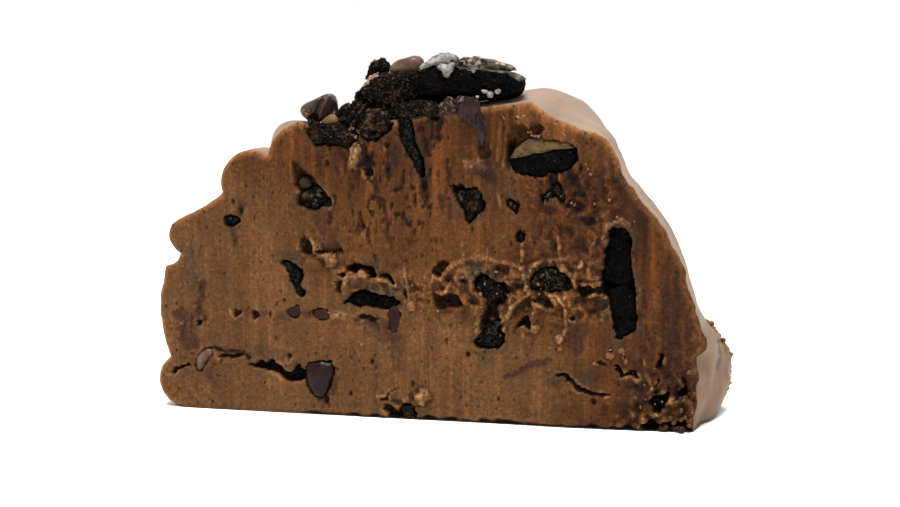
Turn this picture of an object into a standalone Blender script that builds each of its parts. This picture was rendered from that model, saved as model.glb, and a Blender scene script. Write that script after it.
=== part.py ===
"""A cut slice of loaf fudge, standing on its base, set with broken cookie and chocolate chips.

The slice is a thick slab of fudge between two knife-cut faces. A smooth lobed skin runs round
its sides and top. Cookie wafers, crumbs and chips show in the cut faces, each in its own pocket,
and a pile of broken cookie and chips lies on top. Lengths are in millimetres until a mesh is
made. X runs along the slice, Y from the front cut face to the back one, and Z is up.
"""

import math
import random
from collections import namedtuple

import bmesh
import bpy
from mathutils import Matrix, Vector

# Driving dimensions
MM = 0.001
THICKNESS = 32.0
FRONT_Y = -THICKNESS / 2
BACK_Y = THICKNESS / 2
BOX_CENTRE_X = -5.35  # the middle of the slice's length, on the scale that the outlines use
BOX_CENTRE_Y = -0.4  # the middle of the slice's depth
HEART = (-4.0, 26.0)  # the middle of a cut face, towards which its rings shrink
RIM = 1.2  # how far the knife rounded the edge of a cut face
BASE_RIM = 0.3  # the same along the flat base
SWELL = 0.8  # how far the skin stands out half way between the cut faces
STEP = 4.5  # distance between outline points
BASE_STEP = 9.0  # the same along the straight base
GAP = 0.35  # clearance between a piece and the pocket that holds it

# Each outline runs from the left heel up over the top to the right heel. A station is
# (x, z, bulge): bulge is how far the arc to the next station stands outside the straight line.
FRONT_OUTLINE = (
    (-57.5, 0.0, 3.4),  # left heel, and the lowest lobe above it
    (-60.8, 10.4, 1.7),  # notch under the long lobe
    (-61.2, 28.0, -0.7),  # fin on top of the long lobe
    (-57.9, 31.8, 2.0),  # notch under the step lobe
    (-57.6, 39.3, -0.2),  # outer corner of the step
    (-48.4, 44.7, 4.4),  # notch under the big lobe
    (-38.4, 52.4, 1.7),  # notch under the brow lobe
    (-31.0, 59.3, -0.3),  # brow
    (-25.0, 57.6, 0.0),  # bed of the topping, left
    (-12.0, 59.4, 0.3),  # bed of the topping, middle
    (2.0, 61.0, 0.2),  # bed of the topping, right
    (15.9, 63.1, -1.0),  # crown
    (28.5, 57.3, 0.8),  # shoulder
    (32.8, 51.8, 0.0),  # notch under the shoulder
    (34.9, 47.0, 1.9),  # top of the flank
    (47.8, 24.0, -0.4),  # foot of the flank
    (50.2, 18.0, 0.3),  # torn spur
    (48.2, 14.5, 0.5),  # notch over the toe
    (47.6, 0.0, 0.0),  # right heel
)
BACK_OUTLINE = (
    (-57.0, 0.0, 3.0),
    (-60.6, 9.5, 1.8),
    (-60.8, 27.0, -0.5),
    (-58.4, 31.0, 2.0),
    (-57.0, 39.6, 0.0),
    (-49.4, 43.8, 3.6),
    (-40.0, 51.2, 2.0),
    (-33.5, 57.8, 0.3),
    (-26.0, 58.6, 0.3),
    (-14.0, 60.4, 0.3),
    (-3.0, 62.4, 0.4),
    (13.0, 66.0, 1.9),
    (25.4, 57.4, 0.3),
    (28.4, 51.8, 0.0),
    (30.2, 48.0, 2.7),
    (44.4, 21.5, -0.4),
    (49.6, 16.0, 0.8),
    (52.4, 9.0, 0.6),
    (50.4, 0.0, 0.0),
)
FACE_RINGS = (0.4, 0.78)  # rings inside a cut face, as shares of the way from its heart
SKIN_DEPTHS = (0.0, 0.15, 0.45, 0.8, 1.0)  # rings along the skin, front to back

# Folds that stand out from the skin: centre, reach and height.
Fold = namedtuple("Fold", "x y z reach height")
FOLDS = (
    Fold(-36.0, -10.0, 56.0, 6.0, 2.6),
    Fold(-52.0, 2.0, 42.0, 9.0, 1.0),
    Fold(20.0, 4.0, 62.0, 10.0, 1.2),
    Fold(51.0, 6.0, 8.0, 9.0, 0.8),
)

# A slab is a broken wafer or a cut chunk: a superellipse with a jagged edge, given thickness.
# On a cut face, x and z place it, and thick is how far it runs in from the face.
Slab = namedtuple("Slab", "name x z wide high turn thick sink square jag seed look")
FRONT_PIECES = (
    Slab("wafer_under_shoulder", 18.7, 51.6, 13.2, 4.6, 6, 8.0, 0.6, 3.6, 0.10, 11, "wafer"),
    Slab("cream_under_shoulder", 17.4, 55.2, 8.8, 1.8, 10, 6.0, 0.3, 2.2, 0.14, 12, "cream"),
    Slab("wafer_upright_top", 33.2, 33.2, 5.2, 11.8, -4, 8.0, 1.2, 3.4, 0.08, 13, "wafer"),
    Slab("wafer_upright_foot", 33.6, 22.0, 5.0, 9.6, 6, 7.0, 0.3, 3.2, 0.10, 14, "wafer"),
    Slab("wafer_left_of_centre", -16.2, 24.0, 11.0, 3.3, -8, 8.0, 0.9, 3.0, 0.12, 15, "wafer"),
    Slab("crumb_over_centre", 7.4, 26.4, 6.2, 5.6, -38, 6.0, 1.2, 2.4, 0.16, 16, "wafer"),
    Slab("crumb_under_centre", 7.8, 17.6, 5.6, 4.8, 8, 5.0, 0.4, 2.0, 0.18, 17, "wafer"),
    Slab("crumb_right_of_centre", 19.8, 28.6, 7.6, 4.2, -6, 5.0, 1.0, 2.3, 0.10, 18, "crumb"),
    Slab("crumb_high_left", -28.2, 43.4, 6.4, 4.4, -32, 5.0, 0.8, 2.2, 0.18, 20, "crumb"),
    Slab("crumb_high_centre", 3.6, 43.4, 5.0, 6.4, 30, 5.0, 0.5, 2.2, 0.20, 21, "crumb"),
    Slab("crumb_high_right", 20.2, 45.9, 4.8, 3.2, 10, 4.0, 0.5, 2.0, 0.20, 22, "crumb"),
    Slab("crumb_right_of_drip", 12.3, 43.2, 2.2, 3.4, 20, 3.5, 0.4, 2.0, 0.14, 23, "crumb"),
    Slab("crumb_over_web", 14.0, 36.6, 2.1, 2.5, 0, 3.0, 0.3, 2.0, 0.12, 24, "crumb"),
    Slab("crumb_far_left", -46.3, 39.3, 3.2, 2.4, -10, 3.5, 0.3, 2.0, 0.16, 25, "crumb"),
    Slab("crumb_left_hook", -32.4, 28.9, 2.4, 6.4, 38, 5.0, 0.5, 2.4, 0.16, 26, "wafer"),
    Slab("cookie_drip", -7.2, 51.2, 2.6, 12.6, 8, 5.0, 0.5, 2.6, 0.14, 27, "wafer"),
    Slab("cookie_seam_low_left", -38.6, 8.6, 9.0, 1.7, -17, 5.0, 0.4, 2.2, 0.14, 28, "wafer"),
    Slab("cookie_bit_at_base", -9.0, 2.6, 3.8, 2.4, 0, 5.0, 0.3, 2.2, 0.10, 29, "crumb"),
    Slab("chip_low_left", -54.9, 10.6, 4.4, 4.6, 30, 4.5, 0.2, 2.0, 0.05, 30, "chip"),
    Slab("chip_low_centre", -27.9, 7.6, 5.2, 6.8, 0, 6.0, 0.2, 2.3, 0.04, 31, "chip"),
    Slab("chip_in_seam_left", -40.2, 21.3, 3.8, 2.6, 0, 4.0, 0.15, 2.0, 0.06, 32, "chip"),
    Slab("chip_in_seam_right", -34.6, 21.1, 4.2, 2.8, -5, 4.0, 0.15, 2.0, 0.06, 33, "chip"),
    Slab("chip_upright", -11.6, 17.8, 2.6, 7.6, -3, 5.0, 0.15, 2.4, 0.06, 34, "chip"),
    Slab("chip_ball_high_left", -31.2, 47.0, 3.0, 3.0, 0, 4.0, 0.6, 2.0, 0.04, 35, "chip"),
)
BACK_PIECES = (
    Slab("back_wafer_high", 12.0, 47.0, 12.0, 4.4, -14, 8.0, 0.5, 3.4, 0.10, 51, "wafer"),
    Slab("back_wafer_low", -30.0, 17.0, 12.6, 4.2, 22, 8.0, 0.5, 3.2, 0.10, 52, "wafer"),
    Slab("back_chip_centre", -6.0, 30.0, 5.6, 5.0, 0, 5.0, 0.2, 2.0, 0.05, 53, "chip"),
    Slab("back_crumb_left", -40.0, 38.0, 5.4, 4.4, 30, 5.0, 0.5, 2.1, 0.18, 54, "crumb"),
    Slab("back_chip_right", 30.0, 12.0, 6.0, 4.6, 25, 5.0, 0.2, 2.0, 0.05, 55, "chip"),
    Slab("back_crumb_right", 34.0, 30.0, 4.2, 5.6, -20, 5.0, 0.5, 2.1, 0.18, 56, "crumb"),
)

# A lump is a rounded chunk lying on or pressed into the top: a squarish ellipsoid with dents.
# tilt turns it about Y and yaw about Z. rests_on names the pieces that it is shaped to meet.
Lump = namedtuple("Lump", "name x y z wide deep high tilt yaw square jag seed look rests_on")
TOP_PIECES = (
    Lump("crumb_bed_left", -25.4, -12.0, 57.5, 10.4, 8.4, 6.6, 8, 0, 2.6, 0.16, 61, "wafer", ()),
    Lump("ridged_cookie_left", -19.2, -11.4, 60.3, 8.2, 8.0, 7.6, 28, 0, 3.0, 0.10, 62, "wafer",
         ("crumb_bed_left",)),
    Lump("chip_on_left", -28.9, -12.2, 62.4, 7.4, 6.6, 5.6, 0, 0, 2.0, 0.0, 63, "kiss",
         ("crumb_bed_left", "ridged_cookie_left")),
    Lump("cream_bit_left", -25.2, -15.6, 60.4, 3.6, 2.6, 1.7, -14, 0, 2.2, 0.06, 64, "cream",
         ("crumb_bed_left", "ridged_cookie_left", "chip_on_left")),
    Lump("crumb_under_slab", -6.0, -11.6, 61.8, 6.6, 7.0, 4.4, 0, 10, 2.6, 0.16, 65, "crumb", ()),
    Lump("chip_shard_under_slab", -0.8, -13.4, 62.0, 4.2, 4.4, 3.8, -20, 0, 3.4, 0.10, 66, "chip",
         ("crumb_under_slab",)),
    Lump("cookie_lump_centre", -14.2, -9.6, 65.2, 13.4, 10.0, 7.4, -9, 0, 2.9, 0.12, 67, "wafer",
         ("ridged_cookie_left", "crumb_under_slab")),
    Lump("cookie_prop", -1.6, -6.4, 64.2, 9.0, 6.4, 4.2, 0, 0, 2.6, 0.12, 68, "wafer",
         ("crumb_under_slab", "chip_shard_under_slab", "cookie_lump_centre")),
    Lump("cookie_slab_top", 4.0, -8.0, 67.2, 21.6, 12.6, 5.4, 9, -3, 4.6, 0.05, 69, "wafer",
         ("cookie_lump_centre", "crumb_under_slab", "chip_shard_under_slab", "cookie_prop")),
    Lump("cream_on_slab", -2.4, -9.6, 70.6, 9.6, 8.4, 4.0, 6, 0, 2.2, 0.12, 70, "cream",
         ("cookie_slab_top", "cookie_lump_centre")),
    Lump("chip_on_lump", -11.6, -8.6, 70.3, 7.4, 6.2, 4.3, -12, 0, 2.1, 0.02, 71, "chip",
         ("cookie_lump_centre", "cream_on_slab")),
    Lump("cookie_bit_behind", -18.4, -5.6, 69.3, 4.8, 4.2, 5.4, 14, 0, 2.8, 0.14, 72, "wafer",
         ("cookie_lump_centre", "chip_on_lump")),
    Lump("back_cookie_left", -21.0, 4.4, 60.6, 10.6, 8.0, 5.6, 6, 20, 3.2, 0.12, 73, "wafer", ()),
    Lump("back_chip_left", -28.4, 9.6, 60.0, 6.4, 6.4, 5.2, 0, 0, 2.0, 0.0, 74, "kiss", ()),
    Lump("back_cookie_right", 1.6, 6.6, 64.2, 12.4, 8.4, 5.0, -12, -24, 3.4, 0.10, 75, "wafer", ()),
    Lump("back_chip_right_top", -9.0, 9.4, 62.8, 6.2, 6.2, 4.8, 0, 0, 2.0, 0.0, 76, "kiss", ()),
    Lump("back_crumb_top", -9.6, 1.4, 62.4, 5.4, 4.8, 4.0, 0, 40, 2.4, 0.18, 77, "crumb", ()),
)

# Empty hollows that the knife tore open in the front face, as slabs of air.
HOLLOWS = (
    Slab("hollow_under_shoulder", 15.2, 57.6, 7.6, 2.4, 14, 5.0, 0.0, 2.2, 0.12, 41, ""),
    Slab("hollow_left_of_web", -0.6, 30.2, 4.4, 4.0, 20, 3.0, 0.0, 2.0, 0.16, 42, ""),
    Slab("hollow_in_seam", 0.6, 24.2, 6.4, 2.8, -10, 3.0, 0.0, 2.2, 0.14, 43, ""),
    Slab("hollow_over_wafer", -18.6, 29.6, 5.4, 1.9, -10, 3.5, 0.0, 2.2, 0.14, 44, ""),
    Slab("hollow_low_right", 40.6, 14.2, 2.4, 3.8, -20, 3.0, 0.0, 2.0, 0.14, 45, ""),
    Slab("hollow_by_heel", 41.6, 7.2, 4.8, 2.4, 12, 3.5, 0.0, 2.2, 0.16, 46, ""),
    Slab("hollow_under_web", 16.4, 21.4, 3.4, 2.2, 0, 3.0, 0.0, 2.0, 0.16, 47, ""),
    Slab("crack_low_right", 24.0, 8.4, 9.0, 1.1, -14, 3.0, 0.0, 2.2, 0.12, 48, ""),
)

# Torn crags of fudge that stand out of the front face, fused to the slice.
CRAGS = (
    Lump("crag_at_base", -9.2, -15.45, 5.3, 9.0, 2.6, 3.6, -6, 0, 2.0, 0.16, 81, "", ()),
    Lump("crag_at_heel", 42.6, -14.4, 2.0, 8.6, 3.0, 3.4, 0, 0, 2.2, 0.18, 82, "", ()),
    Lump("crag_over_hollow", -4.6, -15.7, 26.0, 6.4, 2.2, 2.4, 24, 0, 2.0, 0.16, 83, "", ()),
    Lump("crag_by_wafer", 27.6, -15.6, 26.6, 5.0, 2.2, 3.0, -10, 0, 2.0, 0.18, 84, "", ()),
)

# Colour, roughness and metallic value of each material
LOOKS = {
    "fudge": ((0.235, 0.112, 0.052), 0.50, 0.0),
    "wafer": ((0.012, 0.010, 0.009), 0.85, 0.0),
    "crumb": ((0.045, 0.031, 0.024), 0.80, 0.0),
    "cream": ((0.66, 0.61, 0.54), 0.55, 0.0),
    "chip": ((0.115, 0.066, 0.048), 0.35, 0.0),
}
LOOK_OF = {"kiss": "chip"}


def clear_scene():
    """Removes what the scene starts with."""
    for found in list(bpy.data.objects):
        bpy.data.objects.remove(found)


def material(look):
    """The material of that name, made on its first use."""
    look = LOOK_OF.get(look, look)
    made = bpy.data.materials.get(look) or bpy.data.materials.new(look)
    made.use_nodes = True
    shader = made.node_tree.nodes["Principled BSDF"]
    colour, roughness, metallic = LOOKS[look]
    shader.inputs["Base Color"].default_value = (*colour, 1.0)
    shader.inputs["Roughness"].default_value = roughness
    shader.inputs["Metallic"].default_value = metallic
    return made


def object_of(name, mesh_builder, look):
    """A named object from a bmesh in outline millimetres, moved to the row's frame in metres."""
    bmesh.ops.recalc_face_normals(mesh_builder, faces=mesh_builder.faces)
    bmesh.ops.triangulate(mesh_builder, faces=mesh_builder.faces)
    to_frame = Matrix.Scale(MM, 4) @ Matrix.Translation((-BOX_CENTRE_X, -BOX_CENTRE_Y, 0))
    mesh_builder.transform(to_frame)
    mesh = bpy.data.meshes.new(name)
    mesh_builder.to_mesh(mesh)
    mesh_builder.free()
    made = bpy.data.objects.new(name, mesh)
    bpy.context.scene.collection.objects.link(made)
    if look:
        mesh.materials.append(material(look))
    return made


def loft(rings):
    """A closed bmesh through rings of equal length, each end closed by a fan to its middle."""
    built = bmesh.new()
    loops = [[built.verts.new(point) for point in ring] for ring in rings]
    for near, far in zip(loops, loops[1:]):
        for i in range(len(near)):
            built.faces.new((near[i - 1], near[i], far[i], far[i - 1]))
    for loop in (loops[0], loops[-1]):
        middle = built.verts.new(sum((corner.co for corner in loop), Vector()) / len(loop))
        for i in range(len(loop)):
            built.faces.new((loop[i - 1], loop[i], middle))
    return built


def arc(start, end, bulge, count):
    """Points from start up to but not including end, on the arc that stands bulge off their line."""
    start, end = Vector(start), Vector(end)
    along = end - start
    outward = Vector((-along.y, along.x)).normalized()
    half = along.length / 2
    points = []
    for i in range(count):
        share = i / count
        if abs(bulge) < 0.05:
            points.append(start + along * share)
            continue
        radius = (half * half + bulge * bulge) / (2 * bulge)
        sweep = math.asin(max(-1.0, min(1.0, half / radius)))
        if abs(bulge) > half:
            sweep = math.copysign(math.pi, radius) - sweep
        centre = start + along / 2 + outward * (bulge - radius)
        angle = (2 * share - 1) * sweep
        across = along.normalized() * math.sin(angle) + outward * math.cos(angle)
        points.append(centre + across * radius)
    return points


def stretch_counts():
    """How many points each stretch of the outline takes, by its length on the front face."""
    counts = []
    for i, (x, z, bulge) in enumerate(FRONT_OUTLINE):
        next_x, next_z, _ = FRONT_OUTLINE[(i + 1) % len(FRONT_OUTLINE)]
        chord = math.hypot(next_x - x, next_z - z)
        step = BASE_STEP if i == len(FRONT_OUTLINE) - 1 else STEP
        counts.append(max(1, round((chord + abs(bulge)) / step)))
    return counts


def outline(stations):
    """The outline through these stations as points (x, z)."""
    points = []
    for i, (x, z, bulge) in enumerate(stations):
        next_x, next_z, _ = stations[(i + 1) % len(stations)]
        points += arc((x, z), (next_x, next_z), bulge, stretch_counts()[i])
    return points


def outward_normals(points):
    """The outward direction at each point of an outline that runs clockwise."""
    normals = []
    for i in range(len(points)):
        along = points[(i + 1) % len(points)] - points[i - 1]
        normals.append(Vector((-along.y, along.x)).normalized())
    return normals


def on_base(point):
    """Whether an outline point lies on the flat base."""
    return point.y < 0.01


def inset(points, distance):
    """The outline moved inwards, by much less along the base."""
    moved = []
    for point, normal in zip(points, outward_normals(points)):
        reach = distance * (BASE_RIM / RIM if on_base(point) else 1.0)
        shifted = point - normal * reach
        moved.append(Vector((shifted.x, max(0.0, shifted.y))))
    return moved


def face_relief(x, z):
    """How far a cut face lies behind its plane: both ends turn away, the right one most."""
    right = max(0.0, (x - 26.0) / 22.0)
    left = max(0.0, (-50.0 - x) / 12.0)
    return 1.8 * right * right + 0.7 * left * left


def fold_height(x, y, z):
    """How far the folds lift the skin at a point."""
    lifted = 0.0
    for fold in FOLDS:
        away = (x - fold.x) ** 2 + (y - fold.y) ** 2 + (z - fold.z) ** 2
        lifted += fold.height * math.exp(-away / (fold.reach * fold.reach / 2))
    return lifted


def cut_face_rings(points, y_plane, into):
    """Rings of a cut face from near its heart to its rounded edge. into is +1 towards +Y."""
    heart = Vector(HEART)
    rim = inset(points, RIM)
    rings = []
    for share in FACE_RINGS:
        ring = [heart + (point - heart) * share for point in rim]
        rings.append([(p.x, y_plane + into * face_relief(p.x, p.y), p.y) for p in ring])
    rings.append([(p.x, y_plane + into * face_relief(p.x, p.y), p.y) for p in rim])
    corner = 1 - math.sqrt(0.5)
    eased = inset(points, RIM * corner)
    depth = RIM * corner
    rings.append([(p.x, y_plane + into * (depth + face_relief(p.x, p.y)), p.y) for p in eased])
    return rings


def skin_rings(front, back):
    """Rings of the skin, from just behind the front edge to just before the back edge."""
    rings = []
    for share in SKIN_DEPTHS:
        blended = [a.lerp(b, share) for a, b in zip(front, back)]
        ring = []
        for point, normal, near, far in zip(blended, outward_normals(blended), front, back):
            start = FRONT_Y + RIM + face_relief(near.x, near.y)
            stop = BACK_Y - RIM - face_relief(far.x, far.y)
            y = start + (stop - start) * share
            puff = SWELL * math.sin(math.pi * share)
            puff += fold_height(point.x, y, point.y) * min(1.0, 6 * share, 6 * (1 - share))
            if on_base(point):
                puff = 0.0
            moved = point + normal * puff
            ring.append((moved.x, y, max(0.0, moved.y)))
        rings.append(ring)
    return rings


def fudge_block():
    """The slice itself: front cut face, lobed skin and back cut face in one closed solid."""
    front = outline(FRONT_OUTLINE)
    back = outline(BACK_OUTLINE)
    rings = cut_face_rings(front, FRONT_Y, 1)
    rings += skin_rings(front, back)
    rings += reversed(cut_face_rings(back, BACK_Y, -1))
    return object_of("fudge_slice", loft(rings), "fudge")


def wobble(angle, seed, waves=(2, 3, 5)):
    """A smooth closed wave round a circle, between about -1 and 1."""
    draw = random.Random(seed)
    return sum(math.sin(k * angle + draw.uniform(0, math.tau)) for k in waves) / len(waves)


def slab_outline(slab, grow):
    """The jagged superellipse of a slab as (u, w) points, grown by a clearance."""
    points = []
    power = 2 / slab.square
    sides = 16 if slab.wide + slab.high > 12 else 11
    for i in range(sides):
        angle = math.tau * (i + 0.5) / sides
        across = math.copysign(abs(math.cos(angle)) ** power, math.cos(angle))
        upward = math.copysign(abs(math.sin(angle)) ** power, math.sin(angle))
        point = Vector((across * (slab.wide / 2 + grow), upward * (slab.high / 2 + grow)))
        point *= 1 + slab.jag * wobble(angle, slab.seed)
        point.rotate(Matrix.Rotation(math.radians(slab.turn), 2))
        points.append(point)
    return points


def slab_ring(slab, outline_points, share, y):
    """An outline scaled by share about the slab's middle, at depth y."""
    return [(slab.x + p.x * share, y, slab.z + p.y * share) for p in outline_points]


def slab_rings(slab, into):
    """Rings of the slab itself, its broken front slightly domed and its back edge rounded."""
    plane = FRONT_Y if into > 0 else BACK_Y
    face = plane + into * (face_relief(slab.x, slab.z) + slab.sink)
    points = slab_outline(slab, 0.0)
    depths = ((0.8, -0.1), (1.0, 0.5), (1.0, slab.thick - 1.2), (0.75, slab.thick))
    return [slab_ring(slab, points, share, face + into * depth) for share, depth in depths]


def pocket_rings(slab, into):
    """Rings of the pocket that holds a slab: its outline and a clearance, open at the face."""
    plane = FRONT_Y if into > 0 else BACK_Y
    face = plane + into * (face_relief(slab.x, slab.z) + slab.sink)
    points = slab_outline(slab, GAP)
    floor = slab.thick + GAP
    depths = (-slab.sink - 5.0, floor)
    return [slab_ring(slab, points, 1.0, face + into * depth) for depth in depths]


def ripple(direction, seed, waves=5):
    """A smooth value between about -1 and 1 over all directions, from a few random waves."""
    draw = random.Random(seed)
    total = 0.0
    for _ in range(waves):
        axis = Vector([draw.gauss(0, 1) for _ in range(3)]).normalized()
        total += math.sin(direction.dot(axis) * draw.uniform(2.5, 5.5) + draw.uniform(0, math.tau))
    return total / waves * 1.6


def lump_point(lump, corner, grow):
    """Where a point of the cube from -1 to 1 lands on a lump, before the lump is turned."""
    halves = Vector((lump.wide, lump.deep, lump.high)) / 2 + Vector((grow, grow, grow))
    direction = Vector([part * half for part, half in zip(corner, halves)]).normalized()
    total = sum(abs(part / half) ** lump.square for part, half in zip(direction, halves))
    radius = total ** (-1 / lump.square)
    return direction * radius * (1 + lump.jag * ripple(direction, lump.seed))


def kiss_point(lump, direction, grow):
    """A point on a moulded chocolate chip: a flat round base that draws in to a soft peak."""
    lat = direction.z
    round_share = math.sqrt(max(0.0, 1 - lat * lat))
    drawn = round_share * (1 - 0.38 * max(0.0, lat)) if lat > 0 else min(1.0, round_share * 1.12)
    flat = math.atan2(direction.y, direction.x)
    height = lat if lat > 0 else lat * 0.72
    return Vector((
        drawn * math.cos(flat) * (lump.wide / 2 + grow) + 0.9 * max(0.0, lat) ** 3,
        drawn * math.sin(flat) * (lump.deep / 2 + grow),
        height * (lump.high / 2 + grow) + 0.4 * max(0.0, lat) ** 4,
    ))


def lump_mesh(lump, grow):
    """A lump, grown by a clearance, as a bmesh in its place."""
    built = bmesh.new()
    turn = Matrix.Rotation(math.radians(lump.yaw), 3, "Z")
    turn = turn @ Matrix.Rotation(math.radians(lump.tilt), 3, "Y")
    if lump.look == "kiss":
        bmesh.ops.create_uvsphere(built, u_segments=12, v_segments=7, radius=1.0)
    else:
        cuts = 3 if lump.wide > 10.0 else 2
        bmesh.ops.create_cube(built, size=2.0)
        bmesh.ops.subdivide_edges(built, edges=built.edges[:], cuts=cuts, use_grid_fill=True)
    for corner in built.verts:
        if lump.look == "kiss":
            point = kiss_point(lump, corner.co.normalized(), grow)
        else:
            point = lump_point(lump, corner.co.copy(), grow)
        corner.co = turn @ point + Vector((lump.x, lump.y, lump.z))
    return built


def combine(target, others, operation):
    """Joins or cuts target by each of the other objects in turn, and removes them."""
    for i, other in enumerate(others):
        step = target.modifiers.new(f"{operation}_{i}", "BOOLEAN")
        step.operation = operation
        step.solver = "EXACT"
        step.object = other
    graph = bpy.context.evaluated_depsgraph_get()
    mesh = bpy.data.meshes.new_from_object(target.evaluated_get(graph))
    target.modifiers.clear()
    old = target.data
    target.data = mesh
    mesh.name = target.name
    bpy.data.meshes.remove(old)
    for other in others:
        bpy.data.objects.remove(other)
    weld(mesh)


def weld(mesh):
    """Splits the faces in triangles and merges corners closer than a thousandth of a millimetre."""
    built = bmesh.new()
    built.from_mesh(mesh)
    bmesh.ops.triangulate(built, faces=built.faces)
    bmesh.ops.remove_doubles(built, verts=built.verts, dist=0.001 * MM)
    bmesh.ops.dissolve_degenerate(built, edges=built.edges, dist=0.0005 * MM)
    built.to_mesh(mesh)
    built.free()


def fuse_crags(block):
    """Joins the torn crags to the slice."""
    crags = [object_of(crag.name, lump_mesh(crag, 0.0), None) for crag in CRAGS]
    combine(block, crags, "UNION")


def carve_pockets(block):
    """Cuts a pocket for each piece that is set in the slice, and the torn hollows."""
    cutters = [object_of("pocket", loft(pocket_rings(piece, 1)), None) for piece in FRONT_PIECES]
    cutters += [object_of("pocket", loft(pocket_rings(piece, -1)), None) for piece in BACK_PIECES]
    cutters += [object_of("pocket", loft(pocket_rings(hollow, 1)), None) for hollow in HOLLOWS]
    cutters += [object_of("pocket", lump_mesh(piece, GAP), None) for piece in TOP_PIECES]
    combine(block, cutters, "DIFFERENCE")


def set_slabs(pieces, into):
    """The wafers, crumbs and chips of one cut face."""
    for piece in pieces:
        object_of(piece.name, loft(slab_rings(piece, into)), piece.look)


def lay_topping():
    """The pile on top, each piece shaped to meet the ones that it rests on."""
    named = {piece.name: piece for piece in TOP_PIECES}
    for piece in TOP_PIECES:
        made = object_of(piece.name, lump_mesh(piece, 0.0), piece.look)
        beds = [object_of("bed", lump_mesh(named[under], GAP), None) for under in piece.rests_on]
        if beds:
            combine(made, beds, "DIFFERENCE")


def shade():
    """Smooth shading with the cut edges kept sharp."""
    for made in bpy.data.objects:
        made.data.shade_smooth()
        made.data.set_sharp_from_angle(angle=math.radians(40))


def build():
    """Builds the whole slice."""
    clear_scene()
    block = fudge_block()
    fuse_crags(block)
    carve_pockets(block)
    set_slabs(FRONT_PIECES, 1)
    set_slabs(BACK_PIECES, -1)
    lay_topping()
    shade()


build()
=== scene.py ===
# %% [markdown]
# # A slice of fudge
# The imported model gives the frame: every piece here takes its place and size from it. The slice
# is worked in outline millimetres, with the middle of the outline a little off the frame's origin.

import math

import bpy
import numpy as np
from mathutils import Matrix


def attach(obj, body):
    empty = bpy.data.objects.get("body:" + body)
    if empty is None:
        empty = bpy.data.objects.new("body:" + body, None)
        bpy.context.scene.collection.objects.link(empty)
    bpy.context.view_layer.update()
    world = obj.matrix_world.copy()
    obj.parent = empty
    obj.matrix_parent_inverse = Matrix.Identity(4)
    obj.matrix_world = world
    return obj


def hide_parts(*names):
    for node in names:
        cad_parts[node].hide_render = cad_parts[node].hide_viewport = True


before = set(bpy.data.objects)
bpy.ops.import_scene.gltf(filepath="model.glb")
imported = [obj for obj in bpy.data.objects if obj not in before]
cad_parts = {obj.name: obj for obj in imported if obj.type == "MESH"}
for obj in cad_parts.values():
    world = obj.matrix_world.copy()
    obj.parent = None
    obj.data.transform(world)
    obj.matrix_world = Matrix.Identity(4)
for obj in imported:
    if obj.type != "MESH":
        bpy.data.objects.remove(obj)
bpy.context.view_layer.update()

MM = 0.001
BOX_CENTRE = np.array([-5.35, -0.4, 0.0])
FRONT_Y, BACK_Y = -16.0, 16.0

# %% [markdown]
# ## Small tools
# Smooth lattice noise gives every uneven shape, and cell noise gives grains and pores. Both are
# functions of a place in space, so the same surface comes out on each run.

# %% Noise
def lattice(corner, seed):
    """One fixed value from 0 to 1 for each whole-number corner, mixed from its three numbers."""
    mixed = corner[..., 0] * 374761393 + corner[..., 1] * 668265263 + corner[..., 2] * 2147483647
    mixed = (mixed + seed * 144665) & 0xFFFFFFFF
    mixed = ((mixed ^ (mixed >> 13)) * 1274126177) & 0xFFFFFFFF
    mixed = ((mixed ^ (mixed >> 16)) * 2246822519) & 0xFFFFFFFF
    return ((mixed ^ (mixed >> 15)) & 0xFFFFFF) / 0xFFFFFF


def smooth_noise(points, seed):
    """Value noise from -1 to 1: lattice values blended by 3t^2 - 2t^3 along each axis."""
    base = np.floor(points).astype(np.int64)
    t = points - base
    t = t * t * (3 - 2 * t)
    total = 0.0
    for dx in (0, 1):
        for dy in (0, 1):
            for dz in (0, 1):
                weight = (t[..., 0] if dx else 1 - t[..., 0]) * (t[..., 1] if dy else 1 - t[..., 1])
                weight = weight * (t[..., 2] if dz else 1 - t[..., 2])
                total = total + weight * lattice(base + np.array([dx, dy, dz]), seed)
    return 2 * total - 1


def fractal(points, size, seed, octaves=3):
    """Noise of that size in millimetres, with finer copies added at half the size and height."""
    total, scale, height = 0.0, 1.0 / np.asarray(size, float), 1.0
    for octave in range(octaves):
        total = total + height * smooth_noise(points * scale + 17.3 * octave, seed + octave)
        scale, height = scale * 2, height / 2
    return total


def cells(points, size, seed):
    """Distance to the nearest scattered grain centre, in cell sizes, and that grain's own value."""
    scaled = points / size
    base = np.floor(scaled).astype(np.int64)
    nearest = np.full(points.shape[:-1], 9.0)
    value = np.zeros(points.shape[:-1])
    for dx in (-1, 0, 1):
        for dy in (-1, 0, 1):
            for dz in (-1, 0, 1):
                corner = base + np.array([dx, dy, dz])
                centre = corner + np.stack([lattice(corner, seed + k) for k in range(3)], -1)
                away = np.linalg.norm(scaled - centre, axis=-1)
                closer = away < nearest
                nearest = np.where(closer, away, nearest)
                value = np.where(closer, lattice(corner, seed + 7), value)
    return nearest, value


def ease(low, high, x):
    """0 below low, 1 above high, and a smooth step between."""
    t = np.clip((x - low) / (high - low), 0, 1)
    return t * t * (3 - 2 * t)


def mix(a, b, share):
    """Two colours, or rows of them, blended by a share for each row."""
    share = np.asarray(share)[..., None]
    return np.asarray(a) * (1 - share) + np.asarray(b) * share


print("noise ready:", round(float(smooth_noise(np.array([0.5, 0.5, 0.5]), 1)), 3))

# %% [markdown]
# A piece is a numpy array of points and arrays of faces. It becomes a mesh at its true size and
# place, with painted values kept on its points for the shader to read.

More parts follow.
